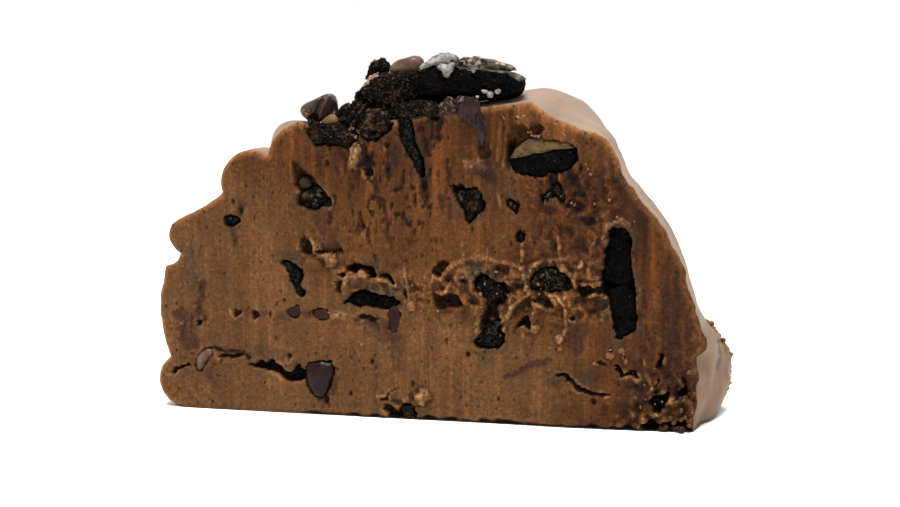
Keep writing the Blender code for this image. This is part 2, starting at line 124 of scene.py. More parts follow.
# %% Pieces
def make_piece(name, points, faces, node, material, paint=None, marks=None):
    """A closed mesh from points in outline millimetres, standing for a node of the frame."""
    mesh = bpy.data.meshes.new(name)
    mesh.vertices.add(len(points))
    mesh.vertices.foreach_set("co", ((points - BOX_CENTRE) * MM).ravel())
    sizes = np.concatenate([np.full(len(group), group.shape[1]) for group in faces])
    mesh.loops.add(int(sizes.sum()))
    mesh.loops.foreach_set("vertex_index", np.concatenate([group.ravel() for group in faces]))
    mesh.polygons.add(len(sizes))
    mesh.polygons.foreach_set("loop_start", np.concatenate([[0], np.cumsum(sizes)[:-1]]))
    mesh.polygons.foreach_set("loop_total", sizes)
    mesh.update(calc_edges=True)
    mesh.validate()
    mesh.shade_smooth()
    for layer_name, values in (("paint", paint), ("marks", marks)):
        if values is not None:
            layer = mesh.color_attributes.new(layer_name, "FLOAT_COLOR", "POINT")
            layer.data.foreach_set("color", np.c_[values, np.ones(len(points))].ravel())
    mesh.materials.append(material)
    made = bpy.data.objects.new(name, mesh)
    bpy.context.scene.collection.objects.link(made)
    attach(made, "root")
    if node:
        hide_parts(node)
    return made


print("pieces are made in", MM, "m steps from", BOX_CENTRE)

# %% [markdown]
# Shader maths reads best as plain sums, so a socket is wrapped in a small class whose operators
# add Math nodes. Colours and directions go through Mix and Vector Math nodes.

# %% Shader sums
class Value:
    """An output socket that can be added, multiplied and compared like a number."""

    def __init__(self, tree, socket):
        self.tree, self.socket = tree, socket

    def maths(self, operation, other):
        """This value and another through one Math node."""
        made = self.tree.nodes.new("ShaderNodeMath")
        made.operation = operation
        for i, item in enumerate((self, other)):
            if isinstance(item, Value):
                self.tree.links.new(item.socket, made.inputs[i])
            else:
                made.inputs[i].default_value = item
        return Value(self.tree, made.outputs[0])

    def __add__(self, other):
        return self.maths("ADD", other)

    def __mul__(self, other):
        return self.maths("MULTIPLY", other)

    def __sub__(self, other):
        return self.maths("SUBTRACT", other)

    def __rsub__(self, other):
        return (self * -1.0) + other

    def step(self, low, high):
        """0 below low and 1 above high, smooth between."""
        made = self.tree.nodes.new("ShaderNodeMapRange")
        made.interpolation_type = "SMOOTHSTEP"
        self.tree.links.new(self.socket, made.inputs["Value"])
        made.inputs["From Min"].default_value = low
        made.inputs["From Max"].default_value = high
        return Value(self.tree, made.outputs["Result"])

    __radd__ = __add__


def plug(item):
    """The socket of a Value. Any other item is given back as it is."""
    return item.socket if isinstance(item, Value) else item


print("sums of sockets ready")

# %% [markdown]
# A material is a tree of nodes round the Principled shader. Each kind of node that the recipes
# need has one short method, so that a recipe reads as a list of what lies over what.

# %% Recipes
class Recipe:
    """One material's node tree, with a method for each kind of node that the recipes use."""

    def __init__(self, name, **constants):
        self.material = bpy.data.materials.new(name)
        self.material.use_nodes = True
        self.tree = self.material.node_tree
        self.shader = self.tree.nodes["Principled BSDF"]
        for key, value in constants.items():
            self.shader.inputs[key.replace("_", " ")].default_value = value
        self.place = self.node("ShaderNodeTexCoord").outputs["Object"]

    def node(self, kind, settings=None, **inputs):
        """A node of any kind, its settings and inputs filled in."""
        made = self.tree.nodes.new(kind)
        for key, value in (settings or {}).items():
            setattr(made, key, value)
        for key, value in inputs.items():
            key = int(key[1:]) if key[1:].isdigit() else key.replace("_", " ")
            value = plug(value)
            if isinstance(value, bpy.types.NodeSocket):
                self.tree.links.new(value, made.inputs[key])
            else:
                made.inputs[key].default_value = value
        return made

    def stretched(self, x, y, z):
        """The place on the piece, multiplied along each axis."""
        node = self.node("ShaderNodeVectorMath", {"operation": "MULTIPLY"}, i0=self.place, i1=(x, y, z))
        return node.outputs[0]

    def noise(self, size, detail=3.0, rough=0.55, place=None):
        """Noise from 0 to 1 of that size in millimetres."""
        node = self.node("ShaderNodeTexNoise", None, Vector=place or self.place,
                         Scale=1000.0 / size, Detail=detail, Roughness=rough)
        return Value(self.tree, node.outputs[0])

    def grains(self, size, place=None):
        """Distance to the nearest grain centre, for grains of that size in millimetres."""
        node = self.node("ShaderNodeTexVoronoi", None, Vector=place or self.place,
                         Scale=1000.0 / size)
        return Value(self.tree, node.outputs["Distance"])

    def painted(self, layer):
        """A painted colour layer and its three channels."""
        node = self.node("ShaderNodeAttribute", {"attribute_name": layer})
        split = self.node("ShaderNodeSeparateColor", None, Color=node.outputs["Color"])
        return node.outputs["Color"], [Value(self.tree, split.outputs[i]) for i in range(3)]

    def blend(self, share, a, b, kind="MIX"):
        """Two colours mixed by share."""
        node = self.node("ShaderNodeMix", {"data_type": "RGBA", "blend_type": kind})
        sides = {0: share, 6: a, 7: b}
        for i, item in sides.items():
            item = plug(item)
            if isinstance(item, bpy.types.NodeSocket):
                self.tree.links.new(item, node.inputs[i])
            else:
                node.inputs[i].default_value = item if i == 0 else (*item, 1.0)
        return node.outputs[2]

    def finish(self, colour, roughness, height, depth, coat=None):
        """Joins colour, roughness and bump to the shader. depth is the bump's height in mm."""
        bump = self.node("ShaderNodeBump", None, Height=height, Distance=depth * MM, Strength=1.0)
        joins = {"Base Color": colour, "Roughness": roughness, "Normal": bump.outputs[0]}
        if coat is not None:
            joins["Coat Weight"] = coat
        for key, item in joins.items():
            self.tree.links.new(plug(item), self.shader.inputs[key])
        return self.material


print("recipes ready")

# %% [markdown]
# ## The outline
# The slice was pinched up into lobes on the marble before it was cut. Its outline is a chain of
# arcs from the left heel over the top to the right heel, one for each cut face, with the same
# corners on both so that each lobe runs through the slice.

# %% Outline
FRONT_OUTLINE = (
    (-57.5, 0.0, 4.2), (-60.8, 10.4, 1.8), (-61.4, 29.4, -0.6), (-58.0, 32.0, 3.0),
    (-57.6, 39.3, -0.2), (-48.4, 44.7, 4.4), (-38.4, 52.4, 1.7), (-31.0, 59.3, -0.3),
    (-25.0, 57.6, 0.0), (-12.0, 59.4, 0.3), (2.0, 61.0, 0.2), (15.9, 63.1, -1.0),
    (28.5, 57.3, 0.8), (32.8, 51.8, 0.0), (34.9, 47.0, 1.9), (47.8, 24.0, -0.4),
    (50.2, 18.0, 0.3), (48.2, 14.5, 0.5), (47.6, 0.0, 0.0),
)
BACK_OUTLINE = (
    (-57.0, 0.0, 3.0), (-60.6, 9.5, 1.8), (-60.8, 27.0, -0.5), (-58.4, 31.0, 2.0),
    (-57.0, 39.6, 0.0), (-49.4, 43.8, 3.6), (-40.0, 51.0, 1.6), (-33.5, 55.4, 0.3),
    (-26.0, 57.0, 0.3), (-14.0, 60.4, 0.3), (-3.0, 62.4, 0.4), (13.0, 66.0, 1.9),
    (25.4, 57.4, 0.3), (28.4, 51.8, 0.0), (30.2, 48.0, 2.4), (43.2, 22.3, -0.5),
    (49.2, 15.8, 0.8), (52.4, 9.0, 0.6), (50.4, 0.0, 0.0),
)
GRID_WIDE, GRID_HIGH = 320, 176
AROUND = 2 * (GRID_WIDE + GRID_HIGH)
UPPER = AROUND - GRID_WIDE
ARC_STEPS = 80
LAST_STATION = len(FRONT_OUTLINE) - 1


def arc(start, end, bulge, share):
    """Points on the circle through both ends that stands bulge off the middle of their line."""
    start, end = np.array(start), np.array(end)
    along = end - start
    outward = np.array([-along[1], along[0]]) / np.linalg.norm(along)
    half = np.linalg.norm(along) / 2
    if abs(bulge) < 0.05:
        return start + along * share[:, None]
    radius = (half * half + bulge * bulge) / (2 * bulge)
    sweep = math.asin(np.clip(half / radius, -1, 1))
    angle = ((2 * share - 1) * sweep)[:, None]
    centre = start + along / 2 + outward * (bulge - radius)
    return centre + (along / (2 * half) * np.sin(angle) + outward * np.cos(angle)) * radius


def chain(stations):
    """Each stretch of an outline in fine equal steps of its arc, base left out."""
    share = np.arange(ARC_STEPS) / ARC_STEPS
    parts = [arc(a[:2], b[:2], a[2], share) for a, b in zip(stations, stations[1:])]
    return np.concatenate(parts + [np.array([stations[-1][:2]])])


front_fine, back_fine = chain(FRONT_OUTLINE), chain(BACK_OUTLINE)
travelled = np.r_[0, np.cumsum(np.linalg.norm(np.diff(front_fine, axis=0), axis=1))]
at_upper = np.interp(np.linspace(0, travelled[-1], UPPER + 1)[:-1], travelled, np.arange(len(travelled)))
print("outline:", AROUND, "points,", round(float(travelled[-1]), 1), "mm over the top")

# %% [markdown]
# The knife left the front outline sharp but not clean: it crumbled a little, most of all down the
# right side. The uneven edge is noise along the outward direction, and it fades out at the heels.
# The rim is how far the edge is rounded over, and is narrow where it crumbled and on the base.

# %% Edge of the slice
def resample(fine):
    """The outline at the chosen arc steps, then back along the flat base."""
    index = np.arange(len(fine))
    upper = np.stack([np.interp(at_upper, index, fine[:, k]) for k in (0, 1)], -1)
    share = np.arange(GRID_WIDE)[:, None] / GRID_WIDE
    return np.concatenate([upper, fine[-1] * (1 - share) + fine[0] * share])


def outward(points):
    """The outward direction at each point of a clockwise outline."""
    along = np.roll(points, -1, axis=0) - np.roll(points, 1, axis=0)
    return np.stack([-along[:, 1], along[:, 0]], -1) / np.linalg.norm(along, axis=1)[:, None]


def blur(values, times):
    """Values round the outline, each averaged with its neighbours again and again."""
    for _ in range(times):
        values = (np.roll(values, 1, axis=0) + 2 * values + np.roll(values, -1, axis=0)) / 4
    return values


# a station is the number of a corner of the outline, clockwise from the left heel
CRUMBLE_STARTS, CRUMBLE_FULL = 10.5, 13.0
HEEL_STEPS = 8
station = np.r_[at_upper / ARC_STEPS, np.full(GRID_WIDE, LAST_STATION + 0.5)]
on_base = station > LAST_STATION + 0.2
front_line, back_line = resample(front_fine), resample(back_fine)
crumbly = ease(CRUMBLE_STARTS, CRUMBLE_FULL, station) * ~on_base
ragged = fractal(np.c_[front_line, np.zeros(AROUND)], 2.6, 5)
ragged = ragged * (0.10 + 0.36 * crumbly + 0.12 * ease(-48, -54, front_line[:, 0])) * ~on_base
steps_from_heel = np.minimum(np.arange(AROUND), np.abs(UPPER - np.arange(AROUND)))
ends = np.minimum(1, steps_from_heel / HEEL_STEPS)
front_line = front_line + outward(blur(front_line, 4)) * (ragged * ends)[:, None]
front_line[:, 1] = np.maximum(front_line[:, 1], 0)
rim = blur(np.where(on_base, 0.5, 1.35 - 0.85 * crumbly), 12)
print("rim from", round(float(rim.min()), 2), "to", round(float(rim.max()), 2), "mm")

# %% [markdown]
# ## What shows in the front face
# The knife dragged down through a paste with hard pieces in it. It left fine upright streaks,
# tore hollows beside the cookie pieces, opened pinholes, and pulled sticky threads across a seam
# where two layers met. Each is a shape of its own in the height of the face, in millimetres.

# %% Features of the face
def pairs(*numbers):
    """An outline's points from its numbers, x and z in turn."""
    return tuple(zip(numbers[::2], numbers[1::2]))


def drawn(rows):
    """Rows of a table, with the numbers at the end of each made into an outline."""
    return tuple((*row[:-1], pairs(*row[-1])) for row in rows)


# name, look, how far behind the knife's plane, how square its front is, outline
SET_PIECES = drawn((
    ("wafer_under_shoulder", "wafer", 0.5, 7, (11.8, 51.9, 12.2, 50.6, 12.8, 49.4, 14, 49, 15.9, 48.9, 17.9,
     48.7, 18.9, 48.9, 19.7, 49.5, 21.8, 49.7, 23.4, 50.3, 24.3, 51, 24.9, 51.8, 24.7, 53.3, 23.7, 54.1, 21.8,
     53.9, 19.8, 53.5, 17.9, 52.9, 15.9, 52.7, 14, 52.3)),
    ("cream_under_shoulder", "tan", 0.2, 4, (11.6, 51.9, 12.6, 53.5, 13.9, 54.8, 15.3, 55.8, 17.9, 56, 21,
     55.4, 23.7, 54.9, 24.7, 53.9, 21.8, 53.9, 19.4, 53.5, 17.9, 52.9, 15.9, 52.7, 14, 52.3)),
    ("wafer_upright_top", "wafer", 1.1, 7, (31.4, 38, 31.9, 38.7, 33.1, 39.1, 34.2, 38.8, 35, 38, 35.2, 36.7,
     35.4, 34.8, 35.2, 33.3, 35.6, 31.4, 35.8, 29.7, 35.9, 27.9, 34.3, 27.5, 32.4, 27.8, 31.1, 28.6, 30.1,
     28.9, 30.3, 30.9, 30.6, 33.2, 30.8, 35.1, 31.2, 36.6)),
    ("wafer_upright_foot", "wafer", 0.4, 7, (30.5, 26.1, 31.7, 27.1, 33.2, 27.7, 35.1, 27.7, 36.1, 26.8, 36.3,
     24.3, 36.5, 21.8, 36.3, 19.5, 35.2, 18.7, 34.2, 18.1, 33.7, 17.3, 32.9, 17.8, 32.7, 19.4, 32.1, 21.3,
     31.9, 23.6, 31.7, 25.1)),
    ("wafer_left_of_centre", "wafer", 0.6, 6, (-21.8, 23.1, -20.7, 24.1, -20.3, 24.9, -19, 25.4, -17.3, 25.2,
     -15.7, 24.9, -13.6, 24.3, -11.7, 24.2, -10.7, 23.2, -11.1, 22.6, -12.3, 22.2, -13.8, 21.9, -15.7, 22.5,
     -17.4, 22.6, -18.6, 22.2, -20.3, 22.5)),
    ("crumb_over_centre", "speckled", 0.7, 4, (4.5, 27.4, 5.1, 28.6, 6.1, 29.3, 7.3, 28.7, 8.5, 28.1, 10.1,
     27.4, 10.9, 26.4, 11.1, 25.1, 10.5, 24.1, 9.5, 23.5, 8.5, 23, 7.7, 24, 6.7, 24.9, 5.7, 25.5, 4.9, 26.3)),
    ("crumb_under_centre", "speckled", 0.1, 4, (7.7, 19.5, 8.3, 20.3, 9.5, 20.5, 10.1, 19.7, 9.9, 18.6, 10.5,
     17.8, 10.5, 16.2, 9.7, 15.2, 8.1, 14.9, 6.1, 15.1, 4.9, 15.6, 5.3, 16.4, 6.3, 17.6, 7.1, 18.5)),
    ("crumb_right_of_centre", "grey", 0.4, 4, (15.8, 26.8, 16, 28.5, 16.6, 29.9, 18, 30.7, 19.6, 31.2, 21.1,
     30.6, 22.5, 29.7, 23.5, 28.6, 24.5, 27.4, 23.9, 26.8, 22.5, 26.6, 21.2, 26.7, 20.2, 26.1, 18.8, 26.5,
     17.2, 26.6)),
    ("crumb_high_left", "grey", 0.9, 4, (-32, 42.8, -31.6, 44, -31.4, 45.2, -30.3, 45.6, -29.2, 45.8, -28.4,
     46.6, -27.3, 46.1, -26.5, 44.7, -24.8, 43.5, -24.6, 42.5, -25.7, 42.1, -27.4, 42.9, -27.4, 42, -28.2,
     41.4, -29.9, 41.8, -31.4, 42.2)),
    ("crumb_high_centre", "grey", 0.3, 4, (1.2, 44.6, 1.8, 45.6, 2.8, 46, 4, 46, 5.2, 46, 6, 45.1, 6.2, 43.9,
     6.8, 43.1, 6.8, 42.2, 5.6, 41.6, 4.8, 40.8, 4.2, 40, 3.6, 39.6, 3.2, 40.2, 3.2, 41.5, 2.4, 42.3, 1.6,
     43.3)),
    ("crumb_high_right", "grey", 0.3, 4, (18.1, 44.7, 18.7, 45.4, 19.5, 45.4, 20.1, 46.6, 20.7, 47.2, 21.6,
     47.2, 22.2, 46.2, 22.4, 45.3, 22.8, 44.5, 22.2, 44.1, 21.4, 44.9, 20.7, 45.3, 20.1, 44.7, 19.3, 44.3)),
    ("crumb_right_of_drip", "grey", 0.2, 4, (11.2, 43.8, 12, 44.2, 12.6, 43.4, 13.4, 42.9, 13.6, 41.9, 13.2,
     41.5, 12.4, 42.3, 11.6, 42.8)),
    ("crumb_over_web", "grey", 0.1, 3, (13.4, 37.4, 14, 37.8, 14.6, 37.4, 14.6, 36.3, 14.2, 35.9, 13.6,
     36.3)),
    ("crumb_far_left", "speckled", 0.1, 3, (-47.9, 38.9, -47.4, 39.9, -46.1, 40.1, -45, 39.7, -44.6, 38.9,
     -45.7, 38.1, -47.3, 38.3)),
    ("crumb_left_hook", "speckled", 0.2, 4, (-35.4, 30.8, -34.3, 31, -33.2, 30.8, -32.2, 30.3, -31.1, 29.3,
     -30.9, 28.3, -31.3, 27.2, -31.5, 26, -30.5, 25, -30.9, 24, -31.8, 24.2, -32.4, 25.2, -32.8, 26.4, -33.5,
     28.2, -34.3, 29.6)),
    ("cookie_drip", "speckled", 0.1, 5, (-11, 60.4, -8.3, 60.4, -7.9, 58, -7.5, 56.1, -6.9, 53.9, -6.1, 52,
     -5.7, 50, -5.9, 48.5, -6.5, 49.4, -7.3, 51, -8.3, 52.6, -9.2, 54.3, -10, 56.5, -10.6, 58.4)),
    ("cookie_seam_low_left", "wafer", 0.7, 5, (-42.4, 9.7, -41, 9.7, -39.7, 10.4, -38.6, 10, -37.8, 10.7,
     -37.1, 9.9, -35.8, 9.5, -35, 8.5, -33.9, 8, -33, 8.6, -32.8, 9.5, -31.9, 9.9, -31.1, 9.1, -30, 8.8,
     -30.4, 7.3, -31.7, 6.8, -33, 6.6, -34.3, 6.7, -35.4, 7.5, -36.5, 8.1, -37.8, 8.6, -39.3, 8.8, -40.8,
     9.1)),
    ("cookie_bit_at_base", "porous", -0.2, 3, (-10.3, 1.9, -9.7, 2.6, -8.7, 2.8, -7.4, 2.3, -7, 1.3, -7.2,
     0.1, -8.7, -0.2, -9.9, 0.3)),
    ("chip_low_left", "milk", -0.9, 2, (-54.6, 9.2, -54.3, 10.6, -53.2, 11.9, -51.8, 12.8, -50.7, 12.6, -50.3,
     11.8, -51.2, 10.5, -52.3, 9.3, -53.2, 8, -54.1, 7.7)),
    ("chip_low_centre", "glossy", -1.1, 2, (-30.4, 9.6, -29.8, 10.6, -27.2, 11.1, -24.6, 10.8, -24.2, 9,
     -24.9, 6.7, -25.5, 4.7, -26.8, 3.2, -28.3, 3.5, -29.8, 5.1, -30.6, 7.3)),
    ("chip_in_seam_left", "cut", 0.05, 8, (-34.2, 20.9, -33.5, 21.9, -32.2, 22.1, -31.4, 21.6, -31.4, 20.3,
     -32.3, 19.5, -33.5, 19.9)),
    ("chip_in_seam_right", "cut", 0.05, 8, (-28.6, 21, -27.1, 21.5, -25.8, 21.3, -25.2, 20.5, -25.4, 19.5,
     -27.1, 19.3, -28.2, 20)),
    ("chip_upright", "cut", 0.05, 8, (-12.6, 22, -11.9, 22.6, -10.7, 22.2, -10.3, 20.6, -10.5, 18.8, -10.9,
     17.4, -12, 17.2, -12.6, 18.8, -12.8, 20.6)),
    ("chip_ball_high_left", "ball", 0.3, 2.2, (-32, 46.6, -31.8, 47.6, -30.9, 48.2, -29.9, 48.2, -29.2, 47.4,
     -29.4, 46.4, -30.1, 45.6, -31.4, 45.6)),
))
# colour painted inside (the dark ones are painted shade), share of black painted as shade, depth, outline
HOLLOWS = drawn((
    ("orange", 0, 2.2, (11.2, 56.7, 12.4, 57.9, 13.1, 58.5, 14.3, 58.6, 15.1, 58.1, 15.9, 58.3, 16.7, 58.6,
     17.9, 58.5, 18.8, 57.9, 18.4, 57.3, 17.9, 56.7, 17.1, 56, 15.5, 55.4, 14.3, 54.4, 13, 53.1, 12, 51.7,
     11.4, 51.7, 11.2, 53.6, 11.4, 55.4)),
    ("high", 0, 1.6, (11.4, 55.2, 12.4, 55.6, 12.8, 53.7, 12.2, 52.1, 11.8, 49.8, 11.2, 49.4, 11, 52.5)),
    ("soot", 1, 3.4, (29.9, 29.3, 31.3, 28.8, 33.6, 28.3, 35.9, 28.3, 36.1, 26.8, 33.6, 27.1, 31.9, 26.5,
     30.7, 25.7, 29.7, 27)),
    ("umber", 0, 1.8, (-33, 49, -32.6, 51, -32, 50.8, -30.7, 49.6, -29.4, 48.8, -28.2, 47.8, -27.3, 46.9,
     -26.5, 45.7, -25.6, 44.5, -24.6, 43.1, -25, 41.9, -26.5, 42.3, -27.4, 41.6, -29.5, 42.4, -31.4, 45,
     -32.2, 46.2)),
    ("brown", 0, 1.3, (-3.7, 29.2, -3.5, 30.4, -2.4, 31.6, -1.2, 32, 0, 31.3, -0.6, 30.3, -1.4, 29.4, -2.2,
     28.6, -3.3, 28.6)),
    ("brown", 0.1, 1.7, (-3.7, 26, -2.9, 25.3, -1.8, 24.7, -0.6, 25.3, 0.4, 25.5, 1.4, 25.2, 2.2, 24.2, 2.4,
     23.2, 1.2, 22.8, 0, 22.6, -1.2, 22.5, -2.4, 22.3, -3.5, 23.4)),
    ("soot", 1, 2.6, (-21.5, 29.9, -20.7, 30.8, -19.4, 31.2, -17.9, 31, -16.9, 30.8, -16.1, 30.3, -15.4, 29.3,
     -15.4, 28.5, -16.3, 28.1, -16.9, 28.6, -17.3, 29.4, -18.4, 29.6, -19.2, 29.2, -20.5, 29.4)),
    ("soot", 0.8, 1.8, (-14.4, 28.7, -13.8, 29.3, -12.7, 29, -11.9, 28, -11.3, 26.8, -12.1, 27, -13, 28.2,
     -14, 28.3)),
    ("bark", 0, 1.2, (-23, 28.7, -22, 29.1, -21.3, 28.5, -22.4, 28.1)),
    ("brown", 0, 1.3, (-23.9, 27, -22.8, 27.5, -22.4, 26.3, -22.8, 24.9, -23.5, 25, -23.7, 26)),
    ("bark", 0, 1.6, (-31.2, 35.3, -30.2, 36, -29.3, 35.2, -28.5, 34.6, -28.3, 33.4, -28.7, 32.4, -30, 32.3,
     -31.1, 32.7, -31.5, 33.7)),
    ("bark", 0.2, 1.3, (-28.7, 33.4, -27, 33.2, -25.3, 33.5, -23.6, 33.7, -22.3, 34.1, -22.1, 33.3, -23.2,
     33.1, -24.9, 32.9, -26.6, 32.8, -28.5, 33)),
    ("brown", 0, 2.4, (6.9, 24.4, 8.5, 23.2, 9.5, 23.7, 9.3, 22.3, 10.1, 20.5, 9.5, 20.1, 8.1, 20.5, 7.5,
     19.5, 6.5, 17.8, 5.9, 18.4, 5.9, 20, 6.7, 22)),
    ("brown", 0.3, 1.8, (23.7, 27.2, 25.1, 26.9, 25.5, 27.6, 26.4, 27.9, 27.4, 27.5, 28.6, 27.3, 29.9, 28,
     29.9, 26.2, 28.6, 26.2, 27.4, 25.8, 26.3, 25.3, 25.3, 26.3)),
    ("brown", 0.1, 1.5, (9.7, 27.6, 10.9, 28, 12.1, 26.9, 11.9, 25.5, 11.1, 25.9, 10.7, 26.8)),
    ("brown", 0, 1.2, (16.3, 25.2, 18, 25.5, 19.6, 25, 20.6, 24.2, 20.4, 23.2, 19, 23.4, 17.4, 23.9, 16.5,
     24.5)),
    ("bark", 0.5, 2.2, (13.7, 20.1, 14.3, 21.3, 15.5, 21.5, 16.1, 20.5, 16.3, 18.8, 15.7, 18.4, 14.7, 19.5,
     13.5, 19.1)),
    ("bark", 0, 1, (23.9, 21.4, 24.5, 22, 25.1, 21.4, 24.7, 20.8, 24.1, 20.8)),
    ("soot", 0.9, 2.2, (0, 46.4, 0.6, 47, 1.2, 46.4, 1.8, 47, 2.6, 46.4, 2.2, 45.2, 1.6, 44.4, 1, 44.8, 0.4,
     45.8)),
    ("bark", 0.2, 1, (-9.6, 25.5, -9.2, 26.3, -8.8, 25.5, -8.6, 24.1, -9, 23.7, -9.4, 24.5)),
    ("brown", 0, 0.8, (-34.3, 12.5, -33.6, 12.9, -33.4, 11.7, -33.4, 10.5, -34.1, 10.4, -34.5, 11.4)),
    ("bark", 0.3, 1.4, (-60.7, 6.8, -60, 7.9, -58.4, 8.6, -56.8, 9.1, -55.2, 9.8, -56.1, 8.9, -57.9, 8, -59.5,
     6.9)),
    ("bark", 0.2, 1.3, (-49.4, 10.8, -48.5, 11.7, -46.7, 11.6, -44.3, 11.9, -43.9, 11.5, -45.2, 10.8, -47.2,
     10.5)),
    ("bark", 0.5, 1.2, (20.5, 9.9, 21.5, 10.6, 22.6, 10.8, 23.4, 10.5, 24.2, 9.9, 25.2, 9, 26.6, 7.9, 28.3,
     7.2, 30.3, 7.1, 31.8, 6.8, 30.5, 6.3, 28.4, 6.4, 26.4, 6.9, 24.8, 7.8, 23.6, 9.1, 22.6, 10, 21.3, 9.8)),
    ("bark", 0.2, 1, (28.7, 12.8, 29.8, 13.3, 31.2, 12.7, 30.2, 12.3)),
    ("bark", 0.7, 1.5, (32.6, 12.4, 33.5, 12.8, 33.7, 11.9, 34.5, 10.9, 35.5, 11.6, 36.6, 11.6, 37.6, 10.1,
     37, 9.7, 36, 10.6, 34.9, 10.6, 33.9, 10.1, 33.1, 11.7)),
    ("bark", 0.6, 1.6, (40.4, 12.4, 40.8, 13.5, 41.3, 15.5, 42.1, 14.2, 41.8, 12.8, 41.2, 11.8)),
    ("bark", 0.4, 1.2, (40.3, 8.5, 40.8, 10.1, 41.4, 10.7, 41, 8.9)),
    ("bark", 0.8, 2.6, (39.2, 6.3, 40.1, 6.9, 41.4, 6.8, 42.2, 7.4, 42.9, 8.4, 43.5, 7.5, 43, 6.3, 42.2, 4.9,
     41.7, 3.7, 40.9, 2.9, 40.1, 3.5, 39.9, 4.8, 39.4, 5.4)),
    ("bark", 0.6, 2, (43.4, 6.1, 44.3, 6.8, 45.2, 7.8, 45.6, 8.9, 45, 10.1, 45.4, 11, 46.1, 10.3, 46.5, 8.8,
     46.2, 7.6, 45.4, 6.4, 44.5, 5.8)),
    ("soot", 0.9, 2.4, (37.7, 1.2, 39.6, 2.1, 42.5, 1.8, 45.3, 2.2, 47.2, 1.5, 47.2, 0.7, 37.7, 0.4)),
    ("bark", 0, 1, (-14.7, 4.1, -13.3, 4, -12.8, 5.2, -11.8, 6.1, -10.5, 6.2, -11.2, 5.5, -12.4, 4.9, -12.8,
     3.6, -14.3, 3.6)),
    ("bark", 0.5, 1.6, (-13.9, 1.8, -13.3, 2.8, -12, 2.9, -11, 1.9, -9.9, 1.1, -10.3, -0.1, -12.8, 0.2)),
    ("brown", 0, 0.7, (-18.3, 39.2, -17.9, 39.6, -17.5, 38.6, -17.7, 37.2, -18.3, 37.4)),
    ("brown", 0, 1.1, (-46.2, 20.7, -45.3, 21.1, -44.2, 20.5, -44.4, 19.9, -45.5, 19.2, -46.2, 19.8)),
    ("bark", 0, 1.2, (-42.2, 20.8, -40.7, 21.1, -40.3, 20, -40.9, 18.8, -41.8, 18.6, -42, 19.6)),
    ("plum", 0, 0.8, (-38.3, 20.3, -37.6, 20.9, -37.2, 20.1, -37.7, 18.9, -38.3, 19.3)),
    ("bark", 0, 0.6, (-19.5, 20.5, -18.2, 21, -16.5, 20.6, -14.9, 20.1, -15.3, 18.9, -17, 19.2, -18.6, 19.6)),
    ("bark", 0.5, 1, (-54.2, 18.1, -53.3, 18.6, -52.6, 18, -53.1, 17.1, -54, 17.3)),
    ("high", 0, 0.9, (5.4, 55, 6.4, 55.5, 7.8, 55.2, 8.2, 53.2, 7.8, 52.1, 5.8, 51.7, 5.4, 53.2)),
    ("bark", 0, 0.4, (-13.5, 54.5, -12.4, 54.9, -12, 54.3, -13.1, 54.1)),
    ("bark", 0, 0.4, (-16.6, 41.6, -16, 41.6, -15.6, 40.4, -16, 40, -16.4, 40.8)),
    ("bark", 0.4, 0.8, (-18.1, 49.9, -17.2, 50.3, -16.2, 49.5, -16, 48.6, -16.8, 48.2, -17.6, 48.5)),
))
